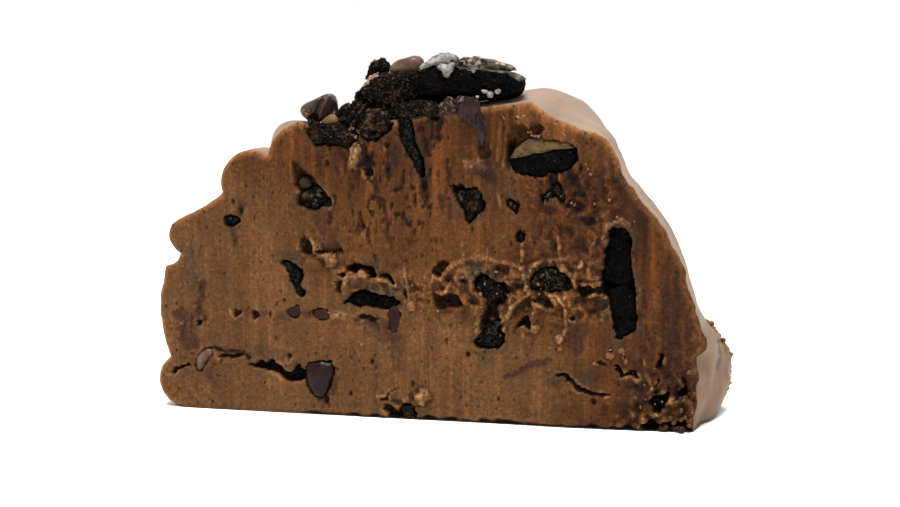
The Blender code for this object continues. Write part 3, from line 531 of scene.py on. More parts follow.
# points of a path on the face, width, height, colour
THREADS = (
    (((14.4, 37.1), (14.4, 34.3), (14.6, 31.6), (15, 28.5), (15.2, 26.4)), 0.55, 0.8, "ochre"),
    (((-1.6, 28.9), (0.4, 30.9), (2.8, 32.1), (5.7, 32.8), (10.1, 31.9), (14.4, 30.8), (19, 32.3),
      (23.1, 32.8)), 0.8, 0.8, "ochre"),
    (((10.7, 18.2), (11.7, 21), (13.3, 24), (16.1, 26), (19, 26.3), (21.2, 24.2)),
     0.75, 0.8, "ochre"),
    (((21.5, 36.8), (21.7, 33.3), (23.1, 30.3), (25.1, 27.6), (29.3, 28.4)), 0.6, 0.9, "ochre"),
    (((21.2, 25.6), (22.8, 24.1), (23.2, 19.4), (22.2, 16.3)), 0.55, 0.8, "ochre"),
    (((31, 38.9), (28.9, 37), (27.7, 34.6), (27.4, 30.4), (28.4, 28.1)), 0.5, 0.6, "ochre"),
    (((-0.8, 26.1), (0.4, 28.3), (3.2, 28.8), (5.1, 26.7), (6.3, 23.8)), 0.9, 0.8, "ochre"),
    (((-22, 25.1), (-21.3, 28.1), (-18.2, 28.6), (-13, 27.4), (-10.6, 26.4)), 0.9, 0.7, "tan"),
    (((-9.6, 30.6), (-8.8, 27), (-8.4, 23.8)), 0.6, 0.5, "tan"),
    (((-24.6, 20), (-22.6, 20.4), (-21.4, 20)), 1.5, 0.7, "tan"),
    (((-20.8, 20.4), (-19.2, 20.2)), 0.6, 0.6, "tan"),
    (((-9.4, 3.6), (-7.6, 5), (-5.6, 4.8)), 0.9, 0.8, "tan"),
    (((9.6, 19.8), (11.4, 20.8), (12.6, 23.2)), 0.8, 0.8, "tan"),
    (((14.4, 18.6), (14.7, 17.2)), 0.9, 0.9, "salmon"),
    (((15.8, 17.2), (16, 15.4)), 0.6, 0.6, "salmon"),
    (((17, 31.8), (17.6, 29.4), (18.4, 28.4)), 0.4, 0.6, "ochre"),
    (((7.4, 34.8), (7.6, 32.4)), 0.35, 0.5, "ochre"),
    (((2.4, 35.6), (2.6, 33)), 0.35, 0.5, "ochre"),
    (((8.6, 35.4), (11, 37)), 0.35, 0.4, "ochre"),
    (((38.2, 13.8), (38.8, 10.6), (40.2, 7.6)), 0.6, 0.7, "tan"),
    (((40.2, 3), (43, 4.2), (45.4, 2.2), (46.4, 0.8)), 1, 1, "ochre"),
    (((-30.8, 48.8), (-29.2, 47), (-27.6, 45.6)), 0.4, 0.4, "tan"),
    (((-29.6, 35.6), (-26.6, 33)), 0.7, 0.6, "tan"),
    (((9.6, 45.2), (10.2, 42.6)), 0.5, 0.4, "tan"),
)
# x, z, radius, height, colour of the small round knobs
KNOBS = (
    (-20.1, 55.1, 1, 0.8, "tan"), (-18.9, 53.5, 0.8, 0.7, "tan"), (-19.7, 51.5, 0.9, 0.7, "tan"),
    (-30.4, 59.6, 0.9, 0.8, "tan"), (-30.8, 58, 0.6, 0.6, "tan"),
    (-5.6, 4.6, 1.7, 1.5, "tan"), (7.9, 20.7, 0.8, 1, "tan"), (5.7, 18.2, 0.7, 0.8, "tan"),
    (17, 18.9, 0.9, 1, "ochre"), (20.6, 26.3, 1, 0.8, "ochre"), (14.3, 30.7, 0.5, 0.7, "ochre"),
    (14.2, 32.3, 0.4, 0.5, "ochre"), (21.9, 17.3, 0.9, 0.9, "tan"), (22, 15.4, 0.6, 0.7, "tan"),
    (15.6, 26.9, 0.9, 0.8, "ochre"), (11.2, 25.4, 0.7, 0.6, "tan"), (-8, 22.6, 1, 0.5, "tan"),
    (31.8, 14.4, 0.9, 0.6, "tan"), (34, 15.4, 0.7, 0.5, "tan"), (34.6, 13.2, 0.5, 0.5, "tan"),
    (-46.4, 20.6, 0.5, 0.4, "tan"), (-57.3, 17.6, 0.45, 0.5, "tan"), (-25, 31.4, 1.6, 0.5, "tan"),
    (-18.2, 14.6, 0.5, 0.4, "ochre"), (26, 31.6, 0.9, 0.5, "tan"),
)
# a stain's path, reach, depth of its groove, colour and strength
STAINS = (
    (((-3.6, 60), (-3.8, 55.9)), 0.35, 0.3, "bark", 0.8),
    (((-6.5, 53.5), (-6.3, 49.2)), 0.3, 0.2, "bark", 0.7),
    (((-12.6, 53.9), (-13.1, 49.2)), 0.5, 0.3, "bark", 0.7),
    (((-16.8, 51.9), (-16.6, 48.4)), 0.9, 0.5, "bark", 0.8),
    (((-22.4, 53.5), (-21.8, 51.9)), 0.8, 0.2, "plum", 0.7),
    (((6.4, 54.6), (7.2, 49.4)), 1.5, 0.2, "plum", 0.7),
    (((5.6, 49.7), (8.6, 48)), 1.1, 0.2, "plum", 0.7),
    (((-9.1, 57.4), (-7.7, 52)), 0.4, 0.3, "bark", 0.6),
    (((10, 59), (9.6, 51.7)), 0.4, -0.3, "orange", 0.6),
    (((-14.3, 59.4), (-14.9, 53.9)), 0.5, -0.3, "orange", 0.6),
    (((-19.1, 56.6), (-20.1, 54.5), (-19.1, 52.1), (-20.1, 50.7)), 1.1, -0.5, "tan", 0.7),
    (((-3.9, 60), (-1, 60.3), (1.8, 60.2)), 0.45, 0.1, "plum", 0.8),
    (((-56.4, 32.4), (-56, 29), (-54.6, 25)), 2.3, 0, "moss", 0.55),
    (((-52.6, 26), (-52.8, 23), (-53.6, 20.4)), 0.8, 0.2, "plum", 0.7),
    (((-57.6, 19.4), (-56.4, 18), (-57, 14.6), (-55.4, 13.6)), 1.7, 0.2, "plum", 0.7),
    (((-53.4, 20), (-55, 17.4)), 1.4, 0.1, "plum", 0.55),
    (((-50.3, 12.9), (-47.6, 11.9), (-43.9, 11.9), (-42.6, 11)), 0.6, 0.6, "bark", 0.9),
    (((-51.6, 8.4), (-50.4, 5.2)), 1, 0, "plum", 0.35),
    (((-43.8, 42.6), (-44.2, 40.2)), 0.9, 0.1, "plum", 0.4),
    (((-46, 37.6), (-45.6, 34)), 0.8, 0.3, "bark", 0.4),
    (((-42.4, 12), (-39, 12.6), (-36, 11.6)), 1.4, 0, "moss", 0.5),
    (((-35, 31.8), (-31.8, 31.4)), 1.4, 0, "moss", 0.65),
    (((-28.4, 5.6), (-26.8, 3.6), (-25.2, 4.8), (-24.6, 8)), 1.3, 0, "plum", 0.8),
    (((-27, 4.6), (-26.4, 3.4)), 1.5, 0, "plum", 0.8),
    (((-11.3, 17.8), (-11, 14.6), (-10.8, 10.6)), 1.2, 0, "plum", 0.5),
    (((-16.6, 18.8), (-12.6, 16.2)), 1.8, 0, "plum", 0.45),
    (((-18.6, 19.4), (-13.6, 18.6)), 1.4, 0.2, "plum", 0.55),
    (((-30.4, 20.6), (-28.4, 20.4)), 1, 0.1, "plum", 0.6),
    (((-43, 20.4), (-38, 19.8), (-33.6, 19.6)), 0.7, 0.1, "plum", 0.4),
    (((11.2, 9.4), (13.4, 10.4), (16, 11.9), (19.7, 12.9)), 0.7, -0.1, "plum", 0.8),
    (((19.6, 10.4), (24.6, 9.4), (28.6, 8.2)), 1.3, 0, "moss", 0.55),
    (((23.4, 19.6), (25.6, 18.4), (24.8, 15.8)), 2.2, 0.1, "plum", 0.55),
    (((13.4, 28.2), (18.6, 27.2)), 1.6, 0.3, "plum", 0.35),
    (((-2, 61), (-2.6, 55.8)), 0.7, 0.5, "bark", 0.85),
    (((-0.6, 51.6), (-0.4, 46.8)), 0.35, 0.3, "bark", 0.6),
    (((-4.6, 60), (-4.4, 55)), 1.7, 0.2, "bark", 0.5),
    (((-6.4, 52.4), (-5.6, 49.4), (-5.2, 46)), 0.7, 0.5, "bark", 0.9),
    (((-5.4, 46.8), (-5.5, 44.4)), 0.75, 0.5, "plum", 0.95),
    (((-7.2, 44.8), (-7, 42.4)), 0.3, 0.3, "bark", 0.7),
    (((-18.4, 55), (-17.4, 51)), 1.1, 0.3, "bark", 0.6),
    (((-15.8, 49), (-15.2, 45.4)), 0.6, 0.3, "bark", 0.7),
    (((-11.2, 54.2), (-12.2, 49.8)), 1, 0.2, "plum", 0.6),
    (((-29.4, 43), (-26.6, 40.4), (-25.4, 36.4)), 2.3, 0.2, "plum", 0.5),
    (((-24.2, 43.8), (-25, 39.4)), 0.9, 0.4, "bark", 0.7),
    (((-27.4, 52.4), (-26.8, 48.6)), 0.6, 0.2, "bark", 0.5),
    (((-27.8, 34.2), (-25, 33.6), (-23.2, 34)), 0.9, 0.3, "plum", 0.5),
    # painted shade: a near-black smear just below the left crumb bed
    (((-23.6, 58), (-22.6, 54.8)), 1, 0.3, "soot", 0.6),
    (((-19.8, 54.4), (-19.6, 52.4)), 1.2, -0.6, "tan", 0.8),
    (((3.6, 50.8), (6.6, 50.2)), 1, -0.3, "tan", 0.35),
    (((5.4, 50), (8, 49)), 1.3, -0.3, "plum", 0.7),
    (((2.4, 46.4), (2.2, 42)), 2.2, 0, "moss", 0.45),
    (((11, 48), (11.6, 45)), 1.6, 0, "moss", 0.5),
    (((20.4, 48.6), (20.8, 46.6)), 0.9, 0.8, "bark", 0.9),
    (((24, 48.8), (25.4, 45.6)), 1, 0.6, "plum", 0.8),
    (((23.6, 43.2), (26.2, 42.6)), 1.1, 0.8, "plum", 0.85),
    (((26.6, 40.2), (28, 40)), 0.9, 0.7, "plum", 0.8),
    (((5, 30), (7.6, 28.6)), 1.8, 0, "moss", 0.6),
    (((3.4, 29.6), (2.6, 27.4)), 1.3, 0, "moss", 0.45),
    (((6.4, 14.8), (7.4, 12.4)), 1.6, 0, "moss", 0.5),
    (((-19.6, 26.8), (-12.4, 26.2), (-9.4, 25)), 1.1, 0, "moss", 0.6),
    (((-18, 31.2), (-15.2, 31)), 1.2, 0, "moss", 0.5),
    (((30.2, 37.2), (31.4, 39.4), (33.2, 40.3), (34.8, 39.6)), 0.55, -0.2, "tan", 0.6),
    (((30.6, 24.6), (31.2, 20.4), (32.2, 16.6)), 1, 0, "moss", 0.45),
    (((43.6, 24.4), (41.8, 18), (42.6, 12)), 3.2, 0.1, "plum", 0.35),
    (((37.6, 22), (38.4, 14)), 1, 0.2, "plum", 0.35),
    (((34.6, 40), (35.6, 39.4)), 0.6, 0.2, "bark", 0.5),
    (((-11.6, 3.4), (-8.2, 2.8), (-8, 4.6)), 0.5, 0.4, "bark", 0.6),
)
print("features:", len(SET_PIECES), "set pieces,", len(HOLLOWS), "hollows,", len(THREADS), "threads")

# %% [markdown]
# ## What lies on top
# Pieces of broken cookie, some with their cream still on, and two chips were pressed on while the
# loaf was soft. Each is drawn as seen from the front, and is later made as a solid of that outline.

# %% Topping outlines
# node, look, front plane, depth, how square its front is, outline
TOPPING = drawn((
    ("crumb_bed_left", "flaky", -16.9, 8.8, 4, (-29.4, 60.2, -28.6, 59.8, -27.3, 59.2, -26.1, 58.8, -23.5,
     59.2, -21.2, 58.6, -19.8, 57.8, -18.8, 56.7, -19, 55.5, -20, 54.7, -21.1, 54.1, -22.7, 54.5, -24.4, 54.7,
     -26.1, 54.8, -27.8, 54.6, -28.4, 55.4, -29, 56.2, -29.4, 57.2, -28.8, 58, -29, 59.2)),
    ("ridged_cookie_left", "ridged", -16, 8, 4, (-23, 61, -22.4, 61.8, -21.1, 62.4, -20.1, 62.9, -19, 63.1,
     -18, 62.7, -17, 62, -16.3, 61.2, -17.6, 60.4, -18.4, 59.6, -19, 58.6, -19.3, 57.6, -20.1, 57.8, -21.6,
     58.6, -23, 59.6)),
    ("cream_bit_left", "ochre", -16.7, 2.6, 3, (-26.5, 59, -25.5, 60, -24.4, 60.6, -23.6, 60.6, -22.8, 59.8,
     -22.8, 59, -24.4, 58.6, -25.7, 58.4)),
    ("cookie_lump_centre", "porous", -14.5, 9.6, 3.4, (-20.3, 64.9, -20.1, 65.3, -19.3, 65.5, -18.7, 66.1,
     -18, 66.7, -17.4, 67.7, -16.4, 68.5, -15.1, 69, -13.9, 69, -12.6, 68.9, -11.4, 69, -9.8, 69, -8.1, 69.1,
     -6.9, 69, -6.5, 66, -7.1, 64.5, -7.5, 63.3, -7.9, 62.3, -9, 61.6, -10.6, 61.4, -12.7, 61.4, -14.7, 61.4,
     -16.4, 61.6, -17.7, 62, -18.5, 63, -19.3, 63.4, -20.1, 64)),
    ("chip_on_lump", "milk", -12.5, 6, 2.2, (-13.7, 69.5, -13.5, 70.3, -12.6, 71.1, -11.6, 71.6, -9.9, 72,
     -8.3, 72.4, -7.1, 72.2, -6.4, 71.6, -6.2, 70.6, -6.7, 69.6, -7.5, 68.8, -9.1, 68.3, -10.8, 68.1, -12.2,
     68.3, -13.3, 68.7)),
    ("cookie_bit_behind", "porous", -8, 4.2, 3.4, (-20, 67.9, -19.5, 69.3, -19.1, 70.5, -18.7, 71.3, -18,
     71.7, -17.2, 71.3, -16.8, 71.9, -16.1, 72, -15.7, 71.2, -15.1, 70.6, -15.1, 69.6, -15.7, 69, -17.2, 68.6,
     -18.7, 68.1)),
    ("cookie_slab_top", "wafer", -14.3, 12.4, 6, (-7.4, 67.2, -7, 68.2, -6.3, 69.6, -4.9, 70.1, -3.3, 70.3,
     -1.1, 69.9, 1.6, 69.9, 3.6, 69.7, 6.4, 69.5, 9.2, 69.2, 11.5, 69, 13.3, 68.6, 14.5, 68, 14.7, 67.5, 14.5,
     66.5, 14.3, 65.6, 13.5, 64.8, 12, 64.2, 10, 63.8, 8, 63.9, 6.4, 64.2, 4.4, 64.1, 2, 63.9, -0.5, 64.1,
     -2.5, 63.9, -4.9, 63.7, -7.4, 63.7, -8, 64.9, -7.6, 66.1)),
    ("cream_on_slab", "cream", -14, 8, 2.4, (-7, 69.2, -6.8, 70, -6, 70.7, -5.2, 71.1, -4.6, 71.9, -3.6, 72.5,
     -2.4, 72.8, -1.1, 72.8, 0.1, 72.4, 1.1, 71.8, 1.5, 71.1, 0.9, 70.3, -0.1, 69.5, -1.5, 69.3, -2.8, 69.5,
     -3.8, 70.3, -4.8, 70.1, -5.8, 69.2)),
    # cookie_prop is black cookie, made large enough to fill the shade under the slab as well: partly a
    # support, partly painted shade
    ("cookie_prop", "wafer", -12, 7, 4, (-8.9, 64.5, -6.2, 64.9, -2.1, 64.9, -0.7, 63.9, -1.9, 63.1, -3.1,
     62.5, -3.7, 61.4, -5.6, 61.8, -8.3, 62.6)),
    ("crumb_under_slab", "porous", -16.7, 7.6, 3.2, (-12, 61.7, -10.8, 62.5, -9.1, 62.9, -7.3, 63.3, -5.1,
     63.3, -3.4, 62.9, -2.4, 62.3, -1.8, 61, -2.4, 60.2, -3, 59.4, -3.8, 59.6, -4.9, 60.4, -6.1, 60.4, -7.5,
     59.8, -9.1, 59.8, -10.8, 60.2, -12, 60.8)),
    ("chip_shard_under_slab", "shard", -16.6, 4.4, 7, (-2.3, 60.8, -1.9, 62.5, -1, 63.3, -0.4, 63.9, 0.8,
     63.5, 1, 62.5, 1.8, 62.1, 1.4, 60.8, 0.2, 61, -1, 60.4)),
))
# owner, look, front plane, depth, how square, outline: parts that belong to a piece above
EXTRA = {
    "lower_chunk": ("ridged_cookie_left", "porous", -16.8, 8, 3.6, pairs(-19.2, 59.4, -18.1, 60.6, -16.5,
     61.6, -14.4, 61.8, -12.4, 61.4, -11.6, 60.2, -12, 58.4, -12.8, 57.3, -13.8, 56.5, -15.3, 55.7, -16.5,
     55.3, -17.8, 55.7, -18.4, 56.7, -19, 57.8)),
    "cream_drip": ("cream_on_slab", "cream", -15.4, 2.2, 2.2, pairs(-2.6, 70.7, -1, 71, 0.8, 70.4, 0.4, 69.3,
     -0.2, 68.7, -0.6, 67.9, -1.2, 68.1, -1.6, 69.1, -2.4, 69.5)),
    "cream_back": ("cream_on_slab", "crusted", -12.5, 7, 2.6, pairs(0.3, 70.9, 1.5, 71.7, 2.3, 72.1, 3.1,
     71.7, 3.7, 72.3, 4.7, 72.2, 5.3, 71.5, 6.5, 71.6, 7.7, 71.4, 9.3, 70.9, 11.2, 70.4, 12.6, 69.5, 9.1,
     68.9, 5.9, 68.9, 3.1, 69.2, 1.1, 69.9)),
}
# the ribbon of melted chocolate, and the folded chip on the left
DRAPE = pairs(1.5, 62.1, 2.5, 63.1, 3.7, 63.7, 4.7, 64, 5.5, 63.5, 5.9, 62.5, 6.3, 61.3, 6.7, 60, 6.9, 58.6,
              7.1, 57.1, 6.9, 55.6, 6.5, 54.4, 5.9, 55, 5.5, 56.3, 4.9, 57.5, 4.3, 58.4, 3.3, 59.2, 2.3, 59.8,
              1.5, 60.8)
KISS = pairs(-31.8, 61.4, -31.5, 62.4, -30.5, 63.2, -29, 63.8, -27.5, 64.4, -26.2, 65, -25.4, 65, -24.7, 64.6,
             -24.3, 63.6, -24.1, 62, -23.9, 60.6, -25.4, 60, -27.1, 59.6, -28.4, 59.2, -29.4, 59.4, -30.5, 60,
             -31.3, 60.6)
SHAPE = {row[0]: row[-1] for row in TOPPING}
print("topping outlines:", len(TOPPING) + len(EXTRA))

# %% [markdown]
# ## How the knife left a face
# A cut face is worked as a height field: each place of a fine grid is pushed in or out and gets a
# colour. It could be sculpted by hand, but sums of noise, and of distances to a path or an outline,
# give the same face on each run. These are the two distances.

# %% Distances on a face
def near_path(x, z, path):
    """Distance from each place to the nearest point of a path."""
    path = np.array(path)
    best = np.full(x.shape, 1e9)
    for a, b in zip(path, path[1:]):
        t = ((x - a[0]) * (b - a)[0] + (z - a[1]) * (b - a)[1]) / ((b - a) @ (b - a))
        t = np.clip(t, 0, 1)
        best = np.minimum(best, np.hypot(x - a[0] - t * (b - a)[0], z - a[1] - t * (b - a)[1]))
    return best


def depth_inside(x, z, outline):
    """Distance in from an outline, negative outside it, where an odd count of crossings is inside."""
    corners = np.array(outline)
    following = np.roll(corners, -1, axis=0)
    inside = np.zeros(x.shape, bool)
    for a, b in zip(corners, following):
        crosses = (a[1] > z) != (b[1] > z)
        level = a[0] + (b[0] - a[0]) * (z - a[1]) / (b[1] - a[1] if b[1] != a[1] else 1e-9)
        inside ^= crosses & (x < level)
    away = near_path(x, z, np.concatenate([corners, corners[:1]]))
    return np.where(inside, away, -away)


def face_relief(x):
    """How far a cut face lies behind its plane: both ends turn away, the right one most."""
    return 1.8 * np.maximum(0, (x - 26) / 22) ** 2 + 0.7 * np.maximum(0, (-50 - x) / 12) ** 2


print("relief at the right end:", round(float(face_relief(48.0)), 2), "mm")

# %% [markdown]
# The back of the slice was cut from the same loaf, so it has cookie, crumbs and chips too, in
# places of its own. Each is a rough oval.

# %% Pieces of the back face
def oval(x, z, wide, high, turn, seed):
    """A rough oval of 14 corners, turned by some degrees, round a middle."""
    angle = np.linspace(0, 2 * np.pi, 14, endpoint=False)
    swing = 1 + 0.10 * np.random.default_rng(seed).normal(size=14)
    u, w = wide / 2 * np.cos(angle) * swing, high / 2 * np.sin(angle) * swing
    c, s = math.cos(math.radians(turn)), math.sin(math.radians(turn))
    return tuple(zip(x + u * c - w * s, z + u * s + w * c))


BACK_SINK = 0.3
BACK_PIECES = tuple(
    (name, look, BACK_SINK, soft, oval(x, z, wide, high, turn, seed))
    for name, x, z, wide, high, turn, look, soft, seed in (
        ("back_wafer_high", 12.0, 47.0, 12.0, 4.6, -14, "wafer", 6, 51),
        ("back_wafer_low", -30.0, 17.0, 12.6, 4.4, 22, "wafer", 6, 52),
        ("back_chip_centre", -6.0, 30.0, 5.6, 5.0, 0, "bloomed", 3, 53),
        ("back_crumb_left", -40.0, 38.0, 5.4, 4.4, 30, "grey", 4, 54),
        ("back_chip_right", 30.0, 12.0, 6.0, 4.6, 25, "bloomed", 3, 55),
        ("back_crumb_right", 34.0, 30.0, 4.2, 5.6, -20, "grey", 4, 56)))
print("back pieces:", len(BACK_PIECES))

# %% [markdown]
# Fudge isn't one brown. It is redder and darker high up and on the right, duller low on the left,
# pale where it was squeezed thin, and painted almost black in a torn hole as its shade. The colours
# are linear values.

# %% Colours of the fudge
PALETTE = {
    "fudge": (0.060, 0.0215, 0.0047), "left": (0.080, 0.0335, 0.0105), "high": (0.050, 0.0155, 0.0029),
    # the bright orange of the rim is a painted glow: light coming through the thin rounded edge of a cut face
    "right": (0.054, 0.0168, 0.0028), "orange": (0.074, 0.0266, 0.0066), "rim": (0.160, 0.066, 0.022),
    "ochre": (0.140, 0.062, 0.021), "tan": (0.140, 0.070, 0.027), "salmon": (0.105, 0.038, 0.013),
    "bark": (0.0085, 0.0030, 0.0012), "plum": (0.020, 0.0076, 0.0052), "moss": (0.030, 0.020, 0.010),
    # the near-black colour here is painted shade, laid in deep holes, along the foot of the face and just
    # below pieces
    "soot": (0.0012, 0.0010, 0.0008), "ash": (0.090, 0.062, 0.042), "skin": (0.190, 0.130, 0.092),
    "toe": (0.108, 0.052, 0.0190), "brown": (0.0180, 0.0050, 0.0012),
    "umber": (0.040, 0.0135, 0.0030), "dull skin": (0.150, 0.126, 0.098),
}
PALETTE = {name: np.array(colour) for name, colour in PALETTE.items()}


class Face:
    """A cut face being worked: its places, its height in front of its plane, its colours."""

    def __init__(self, x, z, number):
        self.x, self.z = x.ravel(), z.ravel()
        self.place = np.stack([self.x, np.full(self.x.shape, 90.0 * number), self.z], -1)
        self.height = -face_relief(self.x)
        self.paint = np.tile(PALETTE["fudge"], (len(self.x), 1))
        self.gloss = 0.35 + 0.25 * fractal(self.place, 8, 73, 2)
        self.rough = np.zeros(self.x.shape)
        self.open = np.zeros(self.x.shape)

    def near(self, outline, margin):
        """Places within a margin of an outline's box."""
        low, high = np.min(outline, 0) - margin, np.max(outline, 0) + margin
        return np.flatnonzero((self.x > low[0]) & (self.x < high[0])
                              & (self.z > low[1]) & (self.z < high[1]))

    def tint(self, at, colour, share):
        """Lays a colour over the places in at."""
        self.paint[at] = mix(self.paint[at], PALETTE[colour], share)

    def wash(self, colour, share):
        """Lays a colour over the whole face."""
        self.tint(slice(None), colour, share)


print("colours:", ", ".join(PALETTE))

# %% [markdown]
# The knife didn't cut the whole face alike. Along the seam the paste tore, the lower right corner
# crumbled, and a patch high on the right is coarse. Each zone is a share from 0 to 1 that the
# height and the colours both follow, so that a rough place looks rough in both.

# %% Zones of a face
SEAM = ((-33.0, 35.1), (-27.4, 33.2), (-21.7, 28.6), (-10.3, 26.0), (0.0, 26.3), (10.1, 26.6),
        (21.9, 26.9), (30.5, 25.9))


def face_zones(face, front):
    """Shares of the torn seam, the crumbled corner, coarse crumb, the dark top and the right."""
    x, z, place = face.x, face.z, face.place
    seam = near_path(x, z, SEAM)
    reach = 3.0 + 3.2 * ease(-8, 2, x) + 1.2 * fractal(place, 6, 60, 2)
    rough = np.exp(-(seam / reach) ** 4) * ease(-36, -28, x)
    rough = np.clip(rough * (0.65 + 0.35 * ease(-14, 0, x)), 0, 1) * (1.0 if front else 0.25)
    corner = ease(33, 43, x + 0.5 * (12 - z) + 2.0 * fractal(place, 5, 61, 2)) * ease(14, 7, z)
    coarse = ease(10, 20, x + 2.5 * fractal(place, 5, 59, 2)) * ease(29, 35, z) * ease(53, 48, z)
    coarse = coarse * ease(37, 30, x)
    coarse = np.clip(coarse + 0.55 * ease(33, 39, x) * ease(34, 16, z), 0, 1)
    high = ease(34, 50, z + 0.15 * x + 3 * fractal(place, 9, 62, 2))
    right = ease(20, 34, x + 2 * fractal(place, 6, 69, 2)) * (1 - 0.75 * ease(40, 48, z))
    return rough, corner, coarse, high, right


def drag_strength(face, rough):
    """How strongly the knife's streaks show: most below the centre, at the right and high up."""
    x, z = face.x, face.z
    strong = 0.55 + 0.45 * fractal(face.place, (10, 1, 13), 66, 2)
    strong = strong + 1.3 * np.exp(-((x + 4) / 6) ** 2) * ease(24, 17, z)
    strong = strong + 0.7 * ease(34, 38, x) + 0.5 * ease(42, 48, z)
    return np.clip(strong, 0.2, 2.0) * (1 - 0.6 * rough)


def ground_height(face, rough, corner, coarse, strong):
    """Adds waves, streaks, grain and torn lumps. Gives the ridges and the distance to a lump."""
    place = face.place
    drag = fractal(place, (0.95, 1.0, 15.0), 64, 3)
    fine = fractal(place, (0.45, 1.0, 8.0), 65, 2)
    grain = fractal(place, 1.4, 67, 3)
    ridge = 1 - np.abs(fractal(place, (2.6, 1, 2.2), 58, 2)) * 2.2
    away, _ = cells(place, 2.2, 68)
    small, _ = cells(place, 1.15, 52)
    lumps = rough * 0.9 + corner * 1.1 + coarse * 0.5
    face.height += 0.38 * fractal(place, 17, 63, 2) + (0.14 * drag + 0.06 * fine) * strong
    face.height += grain * (0.03 + 0.26 * coarse + 0.30 * rough + 0.45 * corner)
    face.height += (0.55 - away) * lumps + 0.60 * rough * np.clip(ridge, -0.8, 1)
    face.height += (0.5 - small) * (0.45 * rough + 0.45 * corner + 0.25 * coarse)
    return ridge, away


print("seam:", len(SEAM), "points across the face")

# %% [markdown]
# Colour goes on in the same order as on the real face: first the broad tones of the batch, then
# the streaks that the knife drew down through them, then what the tearing opened.

# %% Ground colours
def broad_colours(face, high, right, strong):
    """The tones of the batch, and the knife's streaks and dark flecks over them: the flecks are small pits
    painted dark as their shade.
    """
    x, z, place = face.x, face.z, face.place
    face.wash("left", np.clip(ease(-22, -40, x) + ease(24, 17, z + 0.2 * x), 0, 1))
    face.wash("high", 0.9 * high)
    warm = ease(8, 15, x) * ease(53, 59, z + 2 * fractal(place, 4, 57, 2))
    warm = warm + ease(20, 27, x) * ease(43, 50, z)
    face.wash("orange", np.clip(0.6 * warm, 0, 1))
    face.wash("right", right)
    face.paint *= (1 + 0.16 * fractal(place, (5, 7, 9), 70, 4))[:, None]
    streak = fractal(place, (1.1, 1, 21), 71, 3)
    much = 0.12 + 0.30 * high + 0.36 * right + 0.10 * (strong - 0.6)
    face.paint *= np.clip(1 + much * streak, 0.35, 1.9)[:, None]
    band = fractal(place, (2.4, 1, 34), 44, 2)
    face.paint *= np.clip(1 + (0.05 + 0.32 * high) * band, 0.5, 1.6)[:, None]
    # painted shade: small pits high on the left, darkened as well as sunk
    flecks = ease(0.25, 0.7, fractal(place, (0.8, 1, 1.7), 43, 3)) * ease(30, 40, z)
    flecks = flecks * ease(4, -5, x) * ease(-26, -18, x)
    face.wash("bark", 0.75 * flecks)
    face.height -= 0.4 * flecks


def torn_colours(face, zones, ridge, away):
    """Mauve smears, blots in the coarse crumb, dim lower right, and the torn seam and corner, with painted
    shade in their troughs and gaps.
    """
    rough, corner, coarse, _, right = zones
    x, z, place = face.x, face.z, face.place
    mauve = ease(0.1, 0.75, fractal(place, (3.0, 1, 9), 72, 3))
    face.wash("plum", np.clip(mauve * (0.10 + 0.28 * right + 0.25 * coarse) * (1 - rough), 0, 1))
    blots = fractal(place, (1.0, 1, 1.5), 56, 3)
    face.wash("brown", coarse * (0.38 + 0.6 * ease(-0.2, 0.7, blots)))
    dim = ease(17, 24, x) * ease(15, 9, z) + 0.8 * ease(36, 40, x) * ease(20, 12, z)
    uneven = 0.15 + 0.5 * ease(-0.4, 0.6, fractal(place, (4, 1, 3), 42, 3))
    face.wash("brown", np.clip(dim, 0, 1) * uneven)
    face.wash("orange", coarse * ease(-0.2, -0.8, blots) * 0.45)
    # seam crests: paler ochre, partly the torn fudge's colour and partly a painted highlight
    face.wash("ochre", rough * ease(0.55, 1.0, ridge) * 0.35)
    face.wash("moss", rough * ease(0.1, 0.7, fractal(place, 4.5, 48, 3)) * 0.5)
    # painted shade: umber in the seam's troughs
    face.wash("umber", rough * ease(0.3, -0.7, ridge) * 0.8)
    # painted shade: the gaps between the corner's lumps are darkened, and the lumps' raised tops are painted
    # paler tan
    face.wash("bark", corner * ease(0.45, 0.75, away) * 0.8)
    face.wash("tan", corner * ease(0.35, 0.1, away) * 0.3)
    face.gloss += 0.5 * rough
    face.rough = np.clip(rough + corner + coarse, 0, 1)


def lay_ground(face, front):
    """The face before anything is set in it: zones, height, colours."""
    zones = face_zones(face, front)
    rough, corner, coarse, high, right = zones
    strong = drag_strength(face, rough)
    ridge, away = ground_height(face, rough, corner, coarse, strong)
    broad_colours(face, high, right, strong)
    torn_colours(face, zones, ridge, away)


print("ground in", len(PALETTE), "colours")

# %% [markdown]
# Smears, threads and knobs lie on the face. A smear follows a path, in a groove or raised. A
# thread is sticky fudge that was pulled out and fell back, so it stands up, thick and thin. A
# knob is a small lump, with painted shade round it where it meets the face.

# %% Marks on a face
def stain(face, path, reach, groove, colour, strength):
    """A smear along a path, in a groove or raised."""
    at = face.near(path, 2.5 * reach + 0.5)
    away = near_path(face.x[at], face.z[at], path) + 0.50 * reach * fractal(face.place[at], 1.1, 74, 3)
    share = ease(reach * 1.25, reach * 0.45, away)
    face.tint(at, colour, strength * share)
    face.height[at] -= groove * share


def thread(face, path, width, tall, colour):
    """A sticky thread pulled across the face."""
    at = face.near(path, 2.0)
    place = face.place[at]
    away = near_path(face.x[at], face.z[at], path)
    away = away * (1 + 0.3 * fractal(place, 1.3, 75, 2)) + 0.15 * fractal(place, 0.9, 76, 2)
    share = ease(0.70 * width, 0.0, away)
    share = share * (0.65 + 0.5 * fractal(place, 1.7, 51, 2)).clip(0.1, 1)
    face.height[at] += tall * share
    face.tint(at, colour, 0.6 * share)
    face.gloss[at] += 0.8 * share


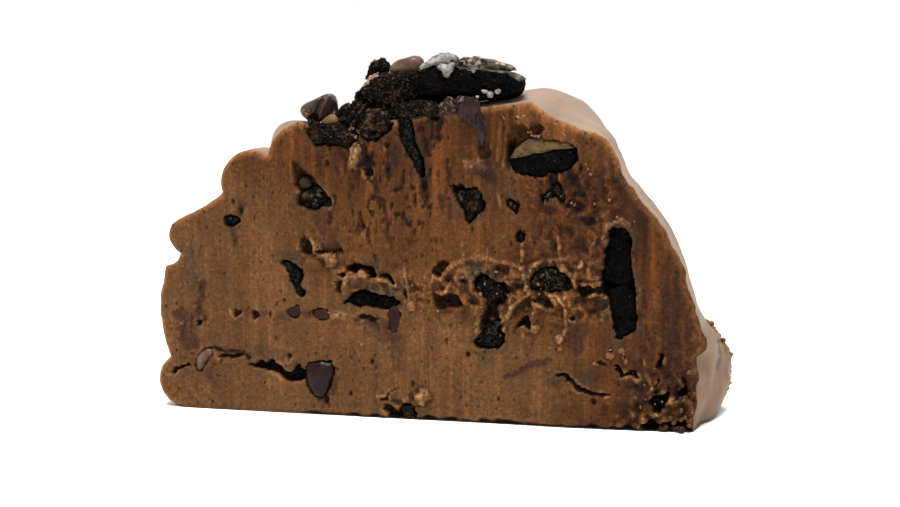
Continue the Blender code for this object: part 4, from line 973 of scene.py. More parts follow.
def knob(face, x, z, radius, tall, colour):
    """A small round lump standing out of the face, its height sqrt(1 - distance^2)."""
    at = face.near(((x, z),), radius * 1.5)
    away = np.hypot(face.x[at] - x, face.z[at] - z) / radius
    away = away + 0.30 * fractal(face.place[at], 0.9, 55, 3)
    dome = np.sqrt(np.clip(1 - away ** 2, 0, 1))
    face.height[at] += tall * dome
    face.tint(at, colour, 0.45 * ease(1.0, 0.75, away))
    # painted shade: a dark ring where the knob meets the face
    face.tint(at, "bark", 0.6 * ease(0.9, 1.05, away) * ease(1.35, 1.1, away))


print("marks:", len(STAINS), "smears,", len(THREADS), "threads,", len(KNOBS), "knobs")

# %% [markdown]
# The rest goes into the face. A hollow is a torn hole with a thin lip, painted dark inside as its
# shade. A pocket is what a piece sits in: a chip fits tightly, while cookie leaves a gap, painted
# dark as its shade, and stains the fudge round it. Pinholes are caught air, each painted dark as its shade.

# %% Holes in a face
def hollow(face, colour, black, depth, outline):
    """A torn hole with a thin lip; its inside colour, mostly dark, and its black are painted shade, darkest
    on its upper side.
    """
    at = face.near(outline, 1.5)
    place = face.place[at]
    depth_in = depth_inside(face.x[at], face.z[at], outline) + 0.30 * fractal(place, 1.1, 78, 3)
    hole = ease(-0.10, 0.22, depth_in)
    face.height[at] -= depth * hole * (1 + 0.15 * fractal(place, 1.6, 54, 2))
    low, high = np.min(outline, 0)[1], np.max(outline, 0)[1]
    upper = ease(low, high, face.z[at])
    # painted shade: the hole takes its inside colour, dark for most holes
    face.tint(at, colour, hole)
    face.height[at] += hole * 0.6 * fractal(place, 0.9, 46, 3)
    # painted glow: orange patches inside an open hole, light coming through the fudge
    face.tint(at, "orange", hole * (1 - black) * 0.55 * ease(0.0, 0.7, fractal(place, 1.2, 47, 3)))
    face.open[at] = np.maximum(face.open[at], hole * (1 - black))
    # painted shade: black by the hole's share, and more on its overhanging upper side
    face.tint(at, "soot", hole * np.clip(black + 0.40 * upper * ease(0.1, 0.8, depth_in), 0, 1))
    lip = ease(-0.7, -0.15, depth_in) * (1 - hole)
    lip = lip * ease(-0.3, 0.5, fractal(place, 1.5, 50, 2))
    face.height[at] += 0.34 * lip
    face.tint(at, "tan", 0.7 * lip * ease(high + 0.8, low, face.z[at]))


def pocket(face, look, outline):
    """The hole that a set piece sits in, close round it, its gap painted dark as shade, with a rim of
    squeezed fudge.
    """
    at = face.near(outline, 1.8)
    place = face.place[at]
    depth_in = depth_inside(face.x[at], face.z[at], outline) + 0.26 * fractal(place, 1.5, 77, 3)
    depth_in = depth_in + 0.16 * fractal(place, 0.6, 45, 2)
    tight = look in ("cut", "tan", "glossy", "milk")
    hole = ease(-0.05, 0.15, depth_in) if tight else ease(-0.30, 0.05, depth_in)
    face.height[at] -= (1.6 if tight else 2.6) * hole
    # painted shade: the gap round the piece is darkened, a little round a tight chip and much round cookie
    face.tint(at, "bark", (0.2 if tight else 0.9) * hole)
    halo = ease(-1.8, -0.3, depth_in) * (1 - hole)
    face.height[at] += 0.10 * halo * ease(-0.2, 0.5, fractal(place, 1.6, 49, 2))
    if look in ("wafer", "grey", "speckled"):
        face.tint(at, "moss", 0.60 * halo * ease(-0.6, 0.6, fractal(place, 2.4, 53, 2)))


PINHOLES = 260


def pinholes(face, seed):
    """Small pits where air was caught, a few of them long, as the knife drew them, each painted dark as its
    shade.
    """
    draw = np.random.default_rng(seed)
    across, up = draw.uniform(-60, 47, PINHOLES), draw.uniform(1, 60, PINHOLES)
    for x, z, size in zip(across, up, draw.random(PINHOLES)):
        size = 0.11 + 0.34 * size ** 7
        at = face.near(((x, z),), 1.5)
        if len(at) == 0:
            continue
        away = np.hypot(face.x[at] - x, (face.z[at] - z) / (1.0 + 1.2 * draw.random()))
        share = ease(size * 1.6, size * 0.5, away)
        face.height[at] -= 1.8 * size * share
        # painted shade: the pit is darkened as well as sunk
        face.tint(at, "bark", 0.8 * share)


print("holes:", len(HOLLOWS), "hollows,", len(SET_PIECES), "pockets,", PINHOLES, "pinholes")

# %% [markdown]
# On a real face light gathers on what stands up and is lost in what lies deep. The render does
# some of that by itself. The rest is painted: each place is made lighter or darker by its height
# above its surroundings, which are the same face blurred.

# %% A finished face
def spread(values, times):
    """Each value averaged with its four neighbours, several times over."""
    for _ in range(times):
        values = (values + np.roll(values, 1, 0) + np.roll(values, -1, 0)
                  + np.roll(values, 1, 1) + np.roll(values, -1, 1)) / 5
    return values


def shade_heights(face, shape):
    """Paint times 1 + c (height - blurred height), c larger where the face is rough."""
    filled = np.maximum(face.height, -face_relief(face.x) - 0.45)
    raised = face.height - spread(filled.reshape(shape), 9).ravel()
    much = raised * (0.9 + 0.5 * face.rough)
    face.paint *= np.clip(1 + np.where(much > 0, 1.5, 1.1) * much, 0.35 + 0.4 * face.open, 2.0)[:, None]


def dress_front(face):
    """Everything on the front face but its set pieces."""
    for make, rows in ((stain, STAINS), (thread, THREADS), (knob, KNOBS), (hollow, HOLLOWS)):
        for row in rows:
            make(face, *row)
    for name in ("crumb_bed_left", "crumb_under_slab", "chip_shard_under_slab"):
        pocket(face, "grey", SHAPE[name])
    pocket(face, "grey", EXTRA["lower_chunk"][-1])


def face_surface(x, z, edge, front):
    """Height above the plane of a cut face, its colour and its marks (gloss, roughness)."""
    face = Face(x, z, 0 if front else 1)
    lay_ground(face, front)
    if front:
        dress_front(face)
    for _, look, _, _, outline in SET_PIECES if front else BACK_PIECES:
        pocket(face, look, outline)
    pinholes(face, 5 if front else 6)
    z, edge = face.z, edge.ravel()
    # painted glow: within 1.7 mm of its edge the face turns bright orange, as light comes through the thin
    # rounded rim
    glow = ease(1.7, 0.2, edge) * (1 - 0.35 * ease(10, 30, face.x)) * ease(0.6, 2.5, z)
    face.wash("rim", np.clip(glow, 0, 1) * 0.75)
    # painted shadow: a near-black band along the foot of the face on the left, where it meets the table; the
    # front face is also drawn in there
    under = ease(1.0, 0.15, z + 0.5 * fractal(face.place, 2.2, 79, 2)) * ease(-38, -24, face.x)
    face.wash("soot", 0.9 * under)
    if front:
        face.height -= 1.1 * under
    shade_heights(face, x.shape)
    marks = np.stack([np.clip(face.gloss, 0, 1), face.rough, 0 * z], -1)
    return (face.height.reshape(x.shape), np.clip(face.paint, 0.0015, 1).reshape(*x.shape, 3),
            marks.reshape(*x.shape, 3))


print("a face is dressed in", 4 + len(SET_PIECES), "pockets and", len(HOLLOWS), "hollows")

# %% [markdown]
# ## The slice
# A cut face is a grid that stretches out from its heart to the outline, so its cells stay near
# 0.35 mm everywhere. The skin is a stack of rings between the faces. All three share their edge
# points, so the slice is one closed body.

# %% Grid of a cut face
HEART = np.array([-4.0, 24.0])


def grid_to_outline(wide, high, border):
    """Places p = heart + m (border(s) - heart) for a grid, m its square ring and s its bearing."""
    u, v = np.meshgrid(np.linspace(-1, 1, wide + 1), np.linspace(-1, 1, high + 1))
    m = np.maximum(np.abs(u), np.abs(v))
    safe = np.where(m > 0, m, 1)
    pu, pv = u / safe, v / safe
    left, top, right = pu <= -1 + 1e-9, pv >= 1 - 1e-9, pu >= 1 - 1e-9
    s = np.where(left, (pv + 1) / 2 * high,
                 np.where(top, high + (pu + 1) / 2 * wide,
                          np.where(right, high + wide + (1 - pv) / 2 * high,
                                   2 * high + wide + (1 - pu) / 2 * wide)))
    index = np.arange(len(border) + 1)
    ring = np.concatenate([border, border[:1]])
    places = np.stack([np.interp(s, index, ring[:, k]) for k in (0, 1)], -1)
    return HEART + m[..., None] * (places - HEART), m


def border_indices(wide, high):
    """Grid indices round the edge, clockwise from the lower left corner."""
    at = np.arange((wide + 1) * (high + 1)).reshape(high + 1, wide + 1)
    return np.concatenate([at[:-1, 0], at[-1, :-1], at[:0:-1, -1], at[0, :0:-1]])


def edge_distance(points, line, batch=6000):
    """Distance from each point to the outline, a batch of points at a time to spare memory."""
    flat = points.reshape(-1, 2)
    found = np.full(len(flat), 9.0)
    for start in range(0, len(flat), batch):
        part = flat[start:start + batch]
        found[start:start + batch] = np.sqrt(
            ((part[:, None, :] - line[None, ::2, :]) ** 2).sum(-1).min(1))
    return found.reshape(points.shape[:-1])


def cut_face(wide, high, line, rim_width, plane, into):
    """Points, paint and marks of a cut face whose border curves back over the rim."""
    corner = 1 - math.sqrt(0.5)
    eased = line - outward(blur(line, 6)) * (rim_width * corner)[:, None]
    eased[:, 1] = np.maximum(eased[:, 1], np.where(on_base[::AROUND // len(line)], 0.12, 0.0))
    places, m = grid_to_outline(wide, high, eased)
    edge = edge_distance(places, line)
    width = 1.4 - 0.9 * ease(5, 25, places[..., 0]) * ease(0, 1, places[..., 0] - 5)
    width = np.where(places[..., 1] < 6, np.minimum(width, 0.5 + places[..., 1] / 6), width)
    turned = np.clip((width - edge) / width, 0, 1)
    back = width * (1 - np.sqrt(np.clip(1 - turned ** 2, 0, 1)))
    height, paint, marks = face_surface(places[..., 0], places[..., 1], edge, into > 0)
    keep = ease(1.0, 0.985, m)
    base_height = -face_relief(places[..., 0])
    height = base_height + (height - base_height) * keep - back * keep
    border_back = np.zeros(m.shape)
    border_back.ravel()[border_indices(wide, high)] = rim_width * corner
    height = height - border_back - np.where(m < 1, back * (1 - keep), 0)
    y = plane - into * height
    points = np.stack([places[..., 0], y, places[..., 1]], -1)
    return points.reshape(-1, 3), paint.reshape(-1, 3), marks.reshape(-1, 3)


def grid_faces(wide, high, flip):
    """Quads of a grid, turned to face the front or, flipped, the back."""
    at = np.arange((wide + 1) * (high + 1)).reshape(high + 1, wide + 1)
    quads = np.stack([at[:-1, :-1], at[:-1, 1:], at[1:, 1:], at[1:, :-1]], -1).reshape(-1, 4)
    return quads[:, ::-1] if flip else quads


print("cut face:", (GRID_WIDE + 1) * (GRID_HIGH + 1), "points")

# %% [markdown]
# The skin is the loaf's outside, smoothed by hand while it set. It swells a little between the
# knife's two cuts, is pressed into folds at the left and bulges at the toe. Each ring of it is a
# blend of the two outlines, moved outward.

# %% The skin
# x, depth and z of the middle of a fold, its reach and its height
FOLDS = ((-31.0, 2.0, 59.0, 10.0, -2.6), (-36.0, -10.0, 56.0, 6.0, 2.2), (-52.0, 2.0, 42.0, 9.0, 1.0),
         (20.0, 4.0, 62.0, 10.0, 1.2), (51.0, 6.0, 8.0, 9.0, 0.8))
SWELL = 0.8
RIM_TURN = math.radians(67.5)
RING_SHARES = np.r_[0.012, 0.03, 0.06, np.linspace(0.11, 0.89, 19), 0.94, 0.97, 0.988]


def skin_edge(line, origin, into):
    """The ring next to a cut face, most of the way round the rim's quarter circle."""
    tight = line - outward(blur(line, 6)) * (rim * (1 - math.sin(RIM_TURN)))[:, None]
    y = origin - into * rim * math.cos(RIM_TURN)
    return np.c_[tight[:, 0], y, np.maximum(tight[:, 1], 0)]


def skin_ring(share, start, stop, calm):
    """The ring at a share of the depth: outlines blended, plus SWELL sin(pi share), folds, bumps."""
    settled = mix(front_line, calm, min(1.0, share * 5))
    line = settled * (1 - share) + back_line * share
    line[on_base] = (front_line * (1 - share) + back_line * share)[on_base]
    y = start + (stop - start) * share
    place = np.c_[line[:, 0], y, line[:, 1]]
    puff = SWELL * math.sin(math.pi * share)
    for fx, fy, fz, reach, tall in FOLDS:
        away = ((place - np.array([fx, fy, fz])) ** 2).sum(-1)
        puff = puff + tall * np.exp(-away * 2 / reach ** 2) * min(1, 6 * share, 6 * (1 - share))
    bumps = 0.55 * fractal(place, (12, 9, 12), 81, 2) + 0.10 * fractal(place, 2.4, 82, 2)
    puff = (puff + bumps * min(1, 5 * share, 5 * (1 - share))) * ~on_base
    moved = line + outward(blur(line, 8)) * puff[:, None]
    return np.c_[moved[:, 0], y, np.maximum(moved[:, 1], 0)]


def skin_colours(points):
    """Tan skin, dull patches, browner low and at the toe, a rim with a painted orange glow, a crust and a
    stain.
    """
    x, y, z = points.T
    lower = ease(40, 48, x) * ease(24, 12, z)
    paint = mix(PALETTE["skin"], PALETTE["toe"], np.clip(lower + 0.42 * ease(50, 36, z), 0, 1))
    dull = 0.5 * ease(-0.2, 0.6, fractal(points, (6, 5, 7), 88, 3)) * (1 - np.clip(lower, 0, 1))
    paint = mix(paint, PALETTE["dull skin"], dull)
    paint = paint * (1 + 0.14 * fractal(points, (5, 6, 5), 83, 3))[:, None]
    depth = np.abs(y)
    # painted glow: the skin within 2 mm of a cut face turns the rim's bright orange, as light comes through
    # the thin edge
    paint = mix(paint, PALETTE["rim"], ease(13.9, 15.9, depth) * 0.75)
    paint = mix(paint, PALETTE["fudge"], ease(1.5, 0.3, z))
    crust = ease(47, 49, x) * ease(3, 6, y) * ease(23, 18, z)
    crust = crust * ease(2, 5, z) * ease(-0.5, 0.1, fractal(points, 1.6, 85, 3))
    stained = (points - np.array([50.3, -1.5, 13.0])) / np.array([3.0, 1.6, 3.4])
    stained = ease(1.3, 0.7, np.linalg.norm(stained, axis=1))
    paint = mix(paint, PALETTE["rim"] * 0.7, crust)
    paint = mix(paint, PALETTE["bark"] * 1.5, stained * ease(-0.9, -0.2, fractal(points, 1.6, 87, 3)))
    points = points + np.array([0.8, 0.3, 0.2]) * (crust * fractal(points, 1.3, 86, 3))[:, None]
    flaw = ease(0.55, 0.8, fractal(points, (5, 4, 5), 84, 3)) * 0.2
    return points, mix(paint, PALETTE["orange"], flaw), 1 - ease(14.5, 15.8, depth)


def skin_surface():
    """Points, paint and marks of the skin, ring by ring from the front edge to the back edge."""
    start = FRONT_Y + rim + face_relief(front_line[:, 0])
    stop = BACK_Y - rim - face_relief(back_line[:, 0])
    calm = blur(front_line, 30)
    rings = [skin_edge(front_line, start, 1)]
    rings += [skin_ring(share, start, stop, calm) for share in RING_SHARES]
    rings += [skin_edge(back_line, stop, -1)]
    points, paint, skin = skin_colours(np.concatenate(rings))
    return points, paint, np.stack([np.full(len(points), 0.75), np.zeros(len(points)), skin], -1)


print("skin:", len(RING_SHARES) + 2, "rings of", AROUND, "points")

# %% [markdown]
# The three parts share no points yet. The front grid has as many border points as a ring, so they
# join in quads. The back grid has half as many, and each step of it takes three triangles.

# %% The slice's mesh
def ring_faces(first, count, rings):
    """Quads between rings of count points that follow each other from index first."""
    k = np.arange(count)
    quads = []
    for ring in range(rings - 1):
        a, b = first + ring * count, first + (ring + 1) * count
        quads.append(np.stack([a + k, a + np.roll(k, -1), b + np.roll(k, -1), b + k], -1))
    return np.concatenate(quads)


def build_slice(material):
    """The whole slice: front grid, skin rings and a back grid with half as many cells a side."""
    front = cut_face(GRID_WIDE, GRID_HIGH, front_line, rim, FRONT_Y, 1)
    half_wide, half_high = GRID_WIDE // 2, GRID_HIGH // 2
    back = cut_face(half_wide, half_high, back_line[::2], rim[::2], BACK_Y, -1)
    skin = skin_surface()
    count_front, count_skin = len(front[0]), len(skin[0])
    rings = count_skin // AROUND
    first_back = count_front + count_skin
    border = border_indices(GRID_WIDE, GRID_HIGH)
    k = np.arange(AROUND)
    following = np.roll(k, -1)
    join_front = np.stack([border, border[following], count_front + following, count_front + k], -1)
    last = count_front + (rings - 1) * AROUND
    near = last + k[::2]
    middle, far = near + 1, last + following[1::2]
    inner = first_back + border_indices(half_wide, half_high)
    beyond = np.roll(inner, -1)
    join_back = np.concatenate([np.stack(three, -1) for three in (
        (near, middle, inner), (middle, far, beyond), (middle, beyond, inner))])
    points, paint, marks = (np.concatenate(parts) for parts in zip(front, skin, back))
    faces = [grid_faces(GRID_WIDE, GRID_HIGH, False), join_front,
             ring_faces(count_front, AROUND, rings), join_back,
             first_back + grid_faces(half_wide, half_high, True)]
    return make_piece("fudge_body", points, faces, "fudge_slice", material, paint, marks)


print("between two rings:", len(ring_faces(0, AROUND, 2)), "quads")

# %% [markdown]
# Fudge is a waxy mass: light goes a little way in and comes out warmer, the cut face is dull with
# fine drag marks, and the skin has a soft sheen.

# %% Fudge finish
def fudge_material():
    """Painted colour with fine mottle, pores painted dark as shade, drag lines on the cut faces, crumb
    painted pale on top and dark in its gaps, and a sheen.
    """
    recipe = Recipe("fudge_finish", Subsurface_Weight=0.12, Subsurface_Scale=0.0010,
                    Subsurface_Radius=(1.0, 0.45, 0.2), IOR=1.45, Specular_IOR_Level=0.09,
                    Coat_Roughness=0.2)
    colour, _ = recipe.painted("paint")
    _, (gloss, rough, skin) = recipe.painted("marks")
    cut = 1.0 - skin
    mottle = recipe.noise(1.1, 4.0)
    lines = recipe.noise(1.0, 3.0, place=recipe.stretched(2.3, 1.0, 0.11))
    pores = recipe.grains(1.5, place=recipe.stretched(1.0, 1.0, 0.7))
    # painted shade: each pore is darkened as well as sunk
    pore = (1.0 - pores.step(0.10, 0.24)) * recipe.noise(7.0).step(0.42, 0.58) * cut
    shade = recipe.blend(mottle.step(0.4, 0.75) * 0.38 * cut, colour, (0.36, 0.33, 0.28), "MULTIPLY")
    shade = recipe.blend(lines.step(0.50, 0.75) * 0.28 * cut, shade, (2.2, 2.2, 2.2), "MULTIPLY")
    shade = recipe.blend(pore * 0.7, shade, (0.012, 0.004, 0.0015))
    specks = (1.0 - recipe.grains(2.2).step(0.03, 0.075)) * cut
    shade = recipe.blend(specks * 0.16, shade, (0.30, 0.20, 0.13))
    grit = recipe.noise(0.60, 3.0, 0.7)
    shade = recipe.blend(grit.step(0.50, 0.72) * (rough * 0.15 + 0.42) * cut, shade,
                         (2.5, 2.6, 2.8), "MULTIPLY")
    shade = recipe.blend((1.0 - grit).step(0.50, 0.72) * (rough * 0.1 + 0.50) * cut, shade,
                         (0.27, 0.25, 0.22), "MULTIPLY")
    # painted light and shade: rough crumb is paler on its raised tops and darker in its gaps
    crumb = recipe.noise(1.05, 4.0, 0.65)
    shade = recipe.blend((1.0 - crumb).step(0.50, 0.64) * rough * 0.45, shade, (2.6, 2.8, 3.0), "MULTIPLY")
    shade = recipe.blend(crumb.step(0.50, 0.64) * rough * 0.55, shade, (0.35, 0.31, 0.26), "MULTIPLY")
    height = (1.0 - crumb) * rough * 2.2 + lines * 0.6 * cut
    height = height + mottle * (rough * 0.8 + 0.35) * cut - pore * 1.6
    height = height + grit * (rough * 0.9 + 0.5) * cut + recipe.noise(2.5, 3.0) * 0.4 * skin
    roughness = 0.66 - gloss * 0.22 - skin * 0.06 + mottle * 0.1
    wet = (gloss - 0.78).maths("MAXIMUM", 0.0) * cut
    return recipe.finish(shade, roughness, height, 0.16, coat=wet * 0.6)


fudge = fudge_material()
body = build_slice(fudge)
print("slice:", len(body.data.vertices), "points,", sum(len(p.vertices) - 2 for p in body.data.polygons),
      "triangles")

# %% [markdown]
# ## Cookie, cream and chocolate
# A broken cookie is a block with flat fractured sides, crumbled at every edge. It is made as a
# cube blown out to the reach of its outline and rounded in depth, then roughened by lumps, grains
# and pits.

# %% Chunks
def cube_points(steps):
    """Points of a cube from -1 to 1 with steps cells along each side, and its quads."""
    line = np.linspace(-1, 1, steps + 1)
    a, b = np.meshgrid(line, line, indexing="ij")
    one = np.ones_like(a)
    sides = [(one, a, b), (-one, b, a), (b, one, a), (a, -one, b), (a, b, one), (b, a, -one)]
    points = np.concatenate([np.stack(side, -1).reshape(-1, 3) for side in sides])
    at = np.arange((steps + 1) ** 2).reshape(steps + 1, steps + 1)
    quads = np.stack([at[:-1, :-1], at[1:, :-1], at[1:, 1:], at[:-1, 1:]], -1).reshape(-1, 4)
    faces = np.concatenate([quads + i * (steps + 1) ** 2 for i in range(6)])
    keys = np.round(points * 4096).astype(np.int64)
    _, first, inverse = np.unique(keys, axis=0, return_index=True, return_inverse=True)
    return points[first], inverse.ravel()[faces]


def reach_of(outline):
    """Middle, half sizes and the reach from the middle at 360 bearings of an outline."""
    corners = np.array(outline)
    following = np.roll(corners, -1, axis=0)
    middle = (corners.min(0) + corners.max(0)) / 2
    a, edge = corners - middle, following - corners
    angle = np.linspace(-np.pi, np.pi, 361)[:-1]
    d = np.stack([np.cos(angle), np.sin(angle)], -1)[:, None, :]
    cross = d[..., 0] * edge[:, 1] - d[..., 1] * edge[:, 0]
    cross = np.where(np.abs(cross) < 1e-9, 1e-9, cross)
    t = (a[:, 0] * edge[:, 1] - a[:, 1] * edge[:, 0]) / cross
    u = (a[:, 0] * d[..., 1] - a[:, 1] * d[..., 0]) / cross
    reach = np.where((u >= 0) & (u <= 1) & (t > 0), t, 0).max(1)
    half = (corners.max(0) - corners.min(0)) / 2
    return middle, half, blur(np.maximum(reach, 0.25 * half.min()), 3)


print("a cube of 3 steps:", len(cube_points(3)[0]), "points")

# %% [markdown]
# What a chunk is made of decides how it breaks: wafer breaks flat and grainy, cream smears into
# lumps, chocolate stays smooth. Each look is a row of sizes in millimetres.

# %% Looks and chunks
# look: lumps, lump size, grain, grain size, cell length in mm, slot
LOOKS = {
    "wafer": (0.18, 1.6, 0.42, 0.66, 0.29, "wafer"),
    "flaky": (0.50, (2.8, 3.0, 1.5), 0.75, 0.9, 0.27, "wafer"),
    "porous": (0.36, 2.2, 0.62, 1.0, 0.29, "wafer"), "ridged": (0.12, 2.4, 0.16, 0.8, 0.26, "wafer"),
    "grey": (0.22, 1.7, 0.30, 0.8, 0.34, "crumb"), "speckled": (0.24, 1.4, 0.50, 0.7, 0.27, "crumb"),
    "cream": (0.62, 1.9, 0.24, 1.2, 0.30, "cream"), "crusted": (0.40, 1.5, 0.45, 0.95, 0.30, "cream"),
    "tan": (0.35, 1.6, 0.30, 0.75, 0.32, "cream"), "ochre": (0.10, 1.6, 0.0, 1.0, 0.40, "cream"),
    "cut": (0.12, 1.6, 0.0, 1.0, 0.35, "chip"), "melted": (0.55, (0.9, 1.0, 2.6), 0.0, 1.0, 0.28, "chip"),
    "milk": (0.08, 3.4, 0.0, 1.0, 0.36, "chip"), "bloomed": (0.10, 3.4, 0.0, 1.0, 0.36, "chip"),
    "glossy": (0.16, 2.2, 0.0, 1.0, 0.34, "chip"), "shard": (0.30, 1.5, 0.30, 1.3, 0.26, "chip"),
    "ball": (0.10, 1.8, 0.04, 0.6, 0.34, "chip"),
}
FEWEST_STEPS, MOST_STEPS = 8, 62


def turn_z(points, degrees):
    """Points turned about the upright axis, anticlockwise as seen from above."""
    c, s = math.cos(math.radians(degrees)), math.sin(math.radians(degrees))
    x, y, z = points[..., 0], points[..., 1], points[..., 2]
    return np.stack([c * x - s * y, s * x + c * y, z], -1)


def crumbled(points, look, seed):
    """How far each point moves out: lumps, then grains and pits, and the ridges of one cookie."""
    lumps, lump_size, grain, grain_size, _, _ = LOOKS[look]
    place = points + 31.7 * seed
    moved = lumps * fractal(place, lump_size, seed, 3)
    if grain:
        away, value = cells(place, grain_size, seed + 3)
        moved = moved + grain * (0.6 - away) * (0.5 + value)
        pit, value = cells(place, 2.1 * grain_size, seed + 5)
        moved = moved - 2.0 * grain * ease(0.42, 0.15, pit) * (value > 0.45)
    if look == "ridged":
        across = (place[:, 0] * 0.80 - place[:, 2] * 0.60) / 1.05
        moved = moved + 0.75 * ease(-0.5, 0.5, np.sin(2 * np.pi * across + fractal(place, 3, seed, 2)))
    return moved


def chunk_points(look, front, deep, soft, outline, seed, into=1, turn=0.0, lean=(0, 0)):
    """Points p = middle + d / ((|d_xz| / reach)^n + (|d_y| / half depth)^n)^(1/n), then crumbled."""
    middle, half, reach = reach_of(outline)
    steps = int(np.clip(2 * max(half) / LOOKS[look][4], FEWEST_STEPS, MOST_STEPS))
    cube, faces = cube_points(steps)
    direction = cube * np.array([half[0], deep / 2, half[1]])
    direction = direction / np.linalg.norm(direction, axis=1)[:, None]
    bearing = np.degrees(np.arctan2(direction[:, 2], direction[:, 0])) + 180
    out = np.interp(bearing % 360, np.arange(361), np.r_[reach, reach[0]])
    flat = np.hypot(direction[:, 0], direction[:, 2])
    radius = ((flat / out) ** soft + (np.abs(direction[:, 1]) / (deep / 2)) ** soft) ** (-1 / soft)
    points = direction * radius[:, None]
    moved = crumbled(points, look, seed)
    points = turn_z(points + direction * np.clip(moved, -0.45 * radius, 2)[:, None], turn)
    centre = np.array([middle[0], front + into * deep / 2, middle[1]])
    back = (points[:, 1:2] + into * deep / 2) * np.array([lean[0], 0, lean[1]])
    return points + centre + back, faces, direction


def join(parts):
    """Several closed shells as one piece, their face numbers moved on."""
    points, faces, first = [], [], 0
    for part in parts:
        points.append(part[0])
        faces.append(part[1] + first)
        first += len(part[0])
    return np.concatenate(points), faces


print("looks:", ", ".join(LOOKS))

# %% [markdown]
# The cookie is almost black, dry and porous, with grey crumbs and a few fat crystals that catch
# the light. Crumbs smeared with fudge turn grey-brown. Cream is pale and dusted with cookie.

# %% Cookie, cream and chip finishes
def cookie_material(name, dark, pale, brown, dust, fine_size):
    """Dark crumb with paler grains, brown patches, pale dust, and paint laid over it."""
    recipe = Recipe(name, IOR=1.4, Specular_IOR_Level=0.05)
    grain = recipe.grains(0.62)
    fine = recipe.noise(fine_size, 4.0, 0.7)
    patch = recipe.noise(3.0, 3.0)
    shade = recipe.blend(fine.step(0.50, 0.70), dark, pale)
    shade = recipe.blend(patch.step(0.48, 0.66) * fine.step(0.35, 0.6) * brown, shade,
                         (0.070, 0.036, 0.017))
    sparks = (1.0 - recipe.grains(0.95).step(0.07, 0.15)) * recipe.noise(1.7).step(0.46, 0.58)
    shade = recipe.blend(sparks * dust, shade, (0.36, 0.29, 0.22))
    colour, _ = recipe.painted("paint")
    _, (over, _, _) = recipe.painted("marks")
    share = (over + (fine - 0.5) * 0.9).step(0.35, 0.65) * over.step(0.02, 0.12)
    shade = recipe.blend(share, shade, colour)
    height = fine * 0.8 - grain * 0.5 - sparks * 0.2
    return recipe.finish(shade, 0.95 - fine * 0.25, height, 0.34)


def cream_material(name, pale, dim, crumb_share, roughness):
    """Cream in two tones with dark crumbs pressed in."""
    recipe = Recipe(name, Subsurface_Weight=0.15, Subsurface_Scale=0.0008, IOR=1.45,
                    Specular_IOR_Level=0.12)
    crumbs = (1.0 - recipe.grains(1.25).step(0.16, 0.36)) * recipe.noise(2.4).step(0.44, 0.58)
    tone = recipe.noise(1.5, 4.0, 0.6)
    colour, _ = recipe.painted("paint")
    _, (over, _, _) = recipe.painted("marks")
    shade = recipe.blend(tone.step(0.35, 0.7), dim, pale)
    shade = recipe.blend(over, shade, colour)
    shade = recipe.blend(crumbs * crumb_share, shade, (0.020, 0.013, 0.009))
    height = tone * 0.7 + recipe.noise(0.5, 3.0) * 0.4 + crumbs * 0.5
    return recipe.finish(shade, roughness + crumbs * 0.3, height, 0.22)


def chip_material(name, dark, bloom_colour, roughness, coat):
    """Dark chocolate with a dull bloom in soft patches and fine scratches."""
    recipe = Recipe(name, IOR=1.46, Specular_IOR_Level=0.07, Coat_Roughness=0.22)
    bloom = recipe.noise(2.6, 4.0)
    shade = recipe.blend(bloom.step(0.35, 0.70), dark, bloom_colour)
    specks = (1.0 - recipe.grains(0.9).step(0.06, 0.13)) * recipe.noise(1.9).step(0.5, 0.6)
    shade = recipe.blend(specks * 0.2, shade, (0.20, 0.16, 0.13))
    scratch = recipe.noise(0.8, 3.0, place=recipe.stretched(1.0, 1.0, 0.3))
    height = scratch * 0.5 + recipe.noise(0.4, 2.0) * 0.2
    return recipe.finish(shade, roughness + bloom * 0.2, height, 0.06, coat=coat - bloom * 0.2)


print("recipes:", cookie_material.__name__, cream_material.__name__, chip_material.__name__)

# %% [markdown]
# The same three recipes serve every look, with colours taken down or up. Fresh breaks are nearly
# black, crumb that took up fat is brown, and chocolate that was warmed and cooled has a bloom.

# %% Finishes
# dark crumb, pale grains, brown patches, dust, and how fine the crumb is in mm
COOKIES = {
    "wafer": ((0.0006, 0.0005, 0.0005), (0.0048, 0.0040, 0.0040), 0.03, 0.16, 0.55),
    "flaky": ((0.0008, 0.0006, 0.0005), (0.054, 0.038, 0.026), 0.4, 0.25, 0.5),
    "porous": ((0.0008, 0.0006, 0.0004), (0.048, 0.031, 0.020), 0.4, 0.5, 0.5),
    "ridged": ((0.0024, 0.0017, 0.0014), (0.072, 0.052, 0.044), 0.5, 0.3, 0.9),
    "speckled": ((0.0006, 0.0006, 0.0006), (0.026, 0.024, 0.021), 0.1, 0.6, 0.55),
    "grey": ((0.0012, 0.0010, 0.0008), (0.060, 0.047, 0.032), 0.35, 0.6, 0.9),
    "shard": ((0.014, 0.009, 0.0065), (0.150, 0.115, 0.090), 0.3, 0.3, 0.8),
}
# pale tone, dim tone, share of dark crumbs, roughness
CREAMS = {
    "cream": ((0.250, 0.238, 0.220), (0.090, 0.078, 0.066), 1.0, 0.42),
    "crusted": ((0.20, 0.17, 0.135), (0.10, 0.080, 0.060), 1.0, 0.75),
    "tan": ((0.105, 0.066, 0.028), (0.050, 0.029, 0.0115), 0.6, 0.8),
    "ochre": ((0.130, 0.070, 0.030), (0.065, 0.028, 0.009), 0.0, 0.5),
}
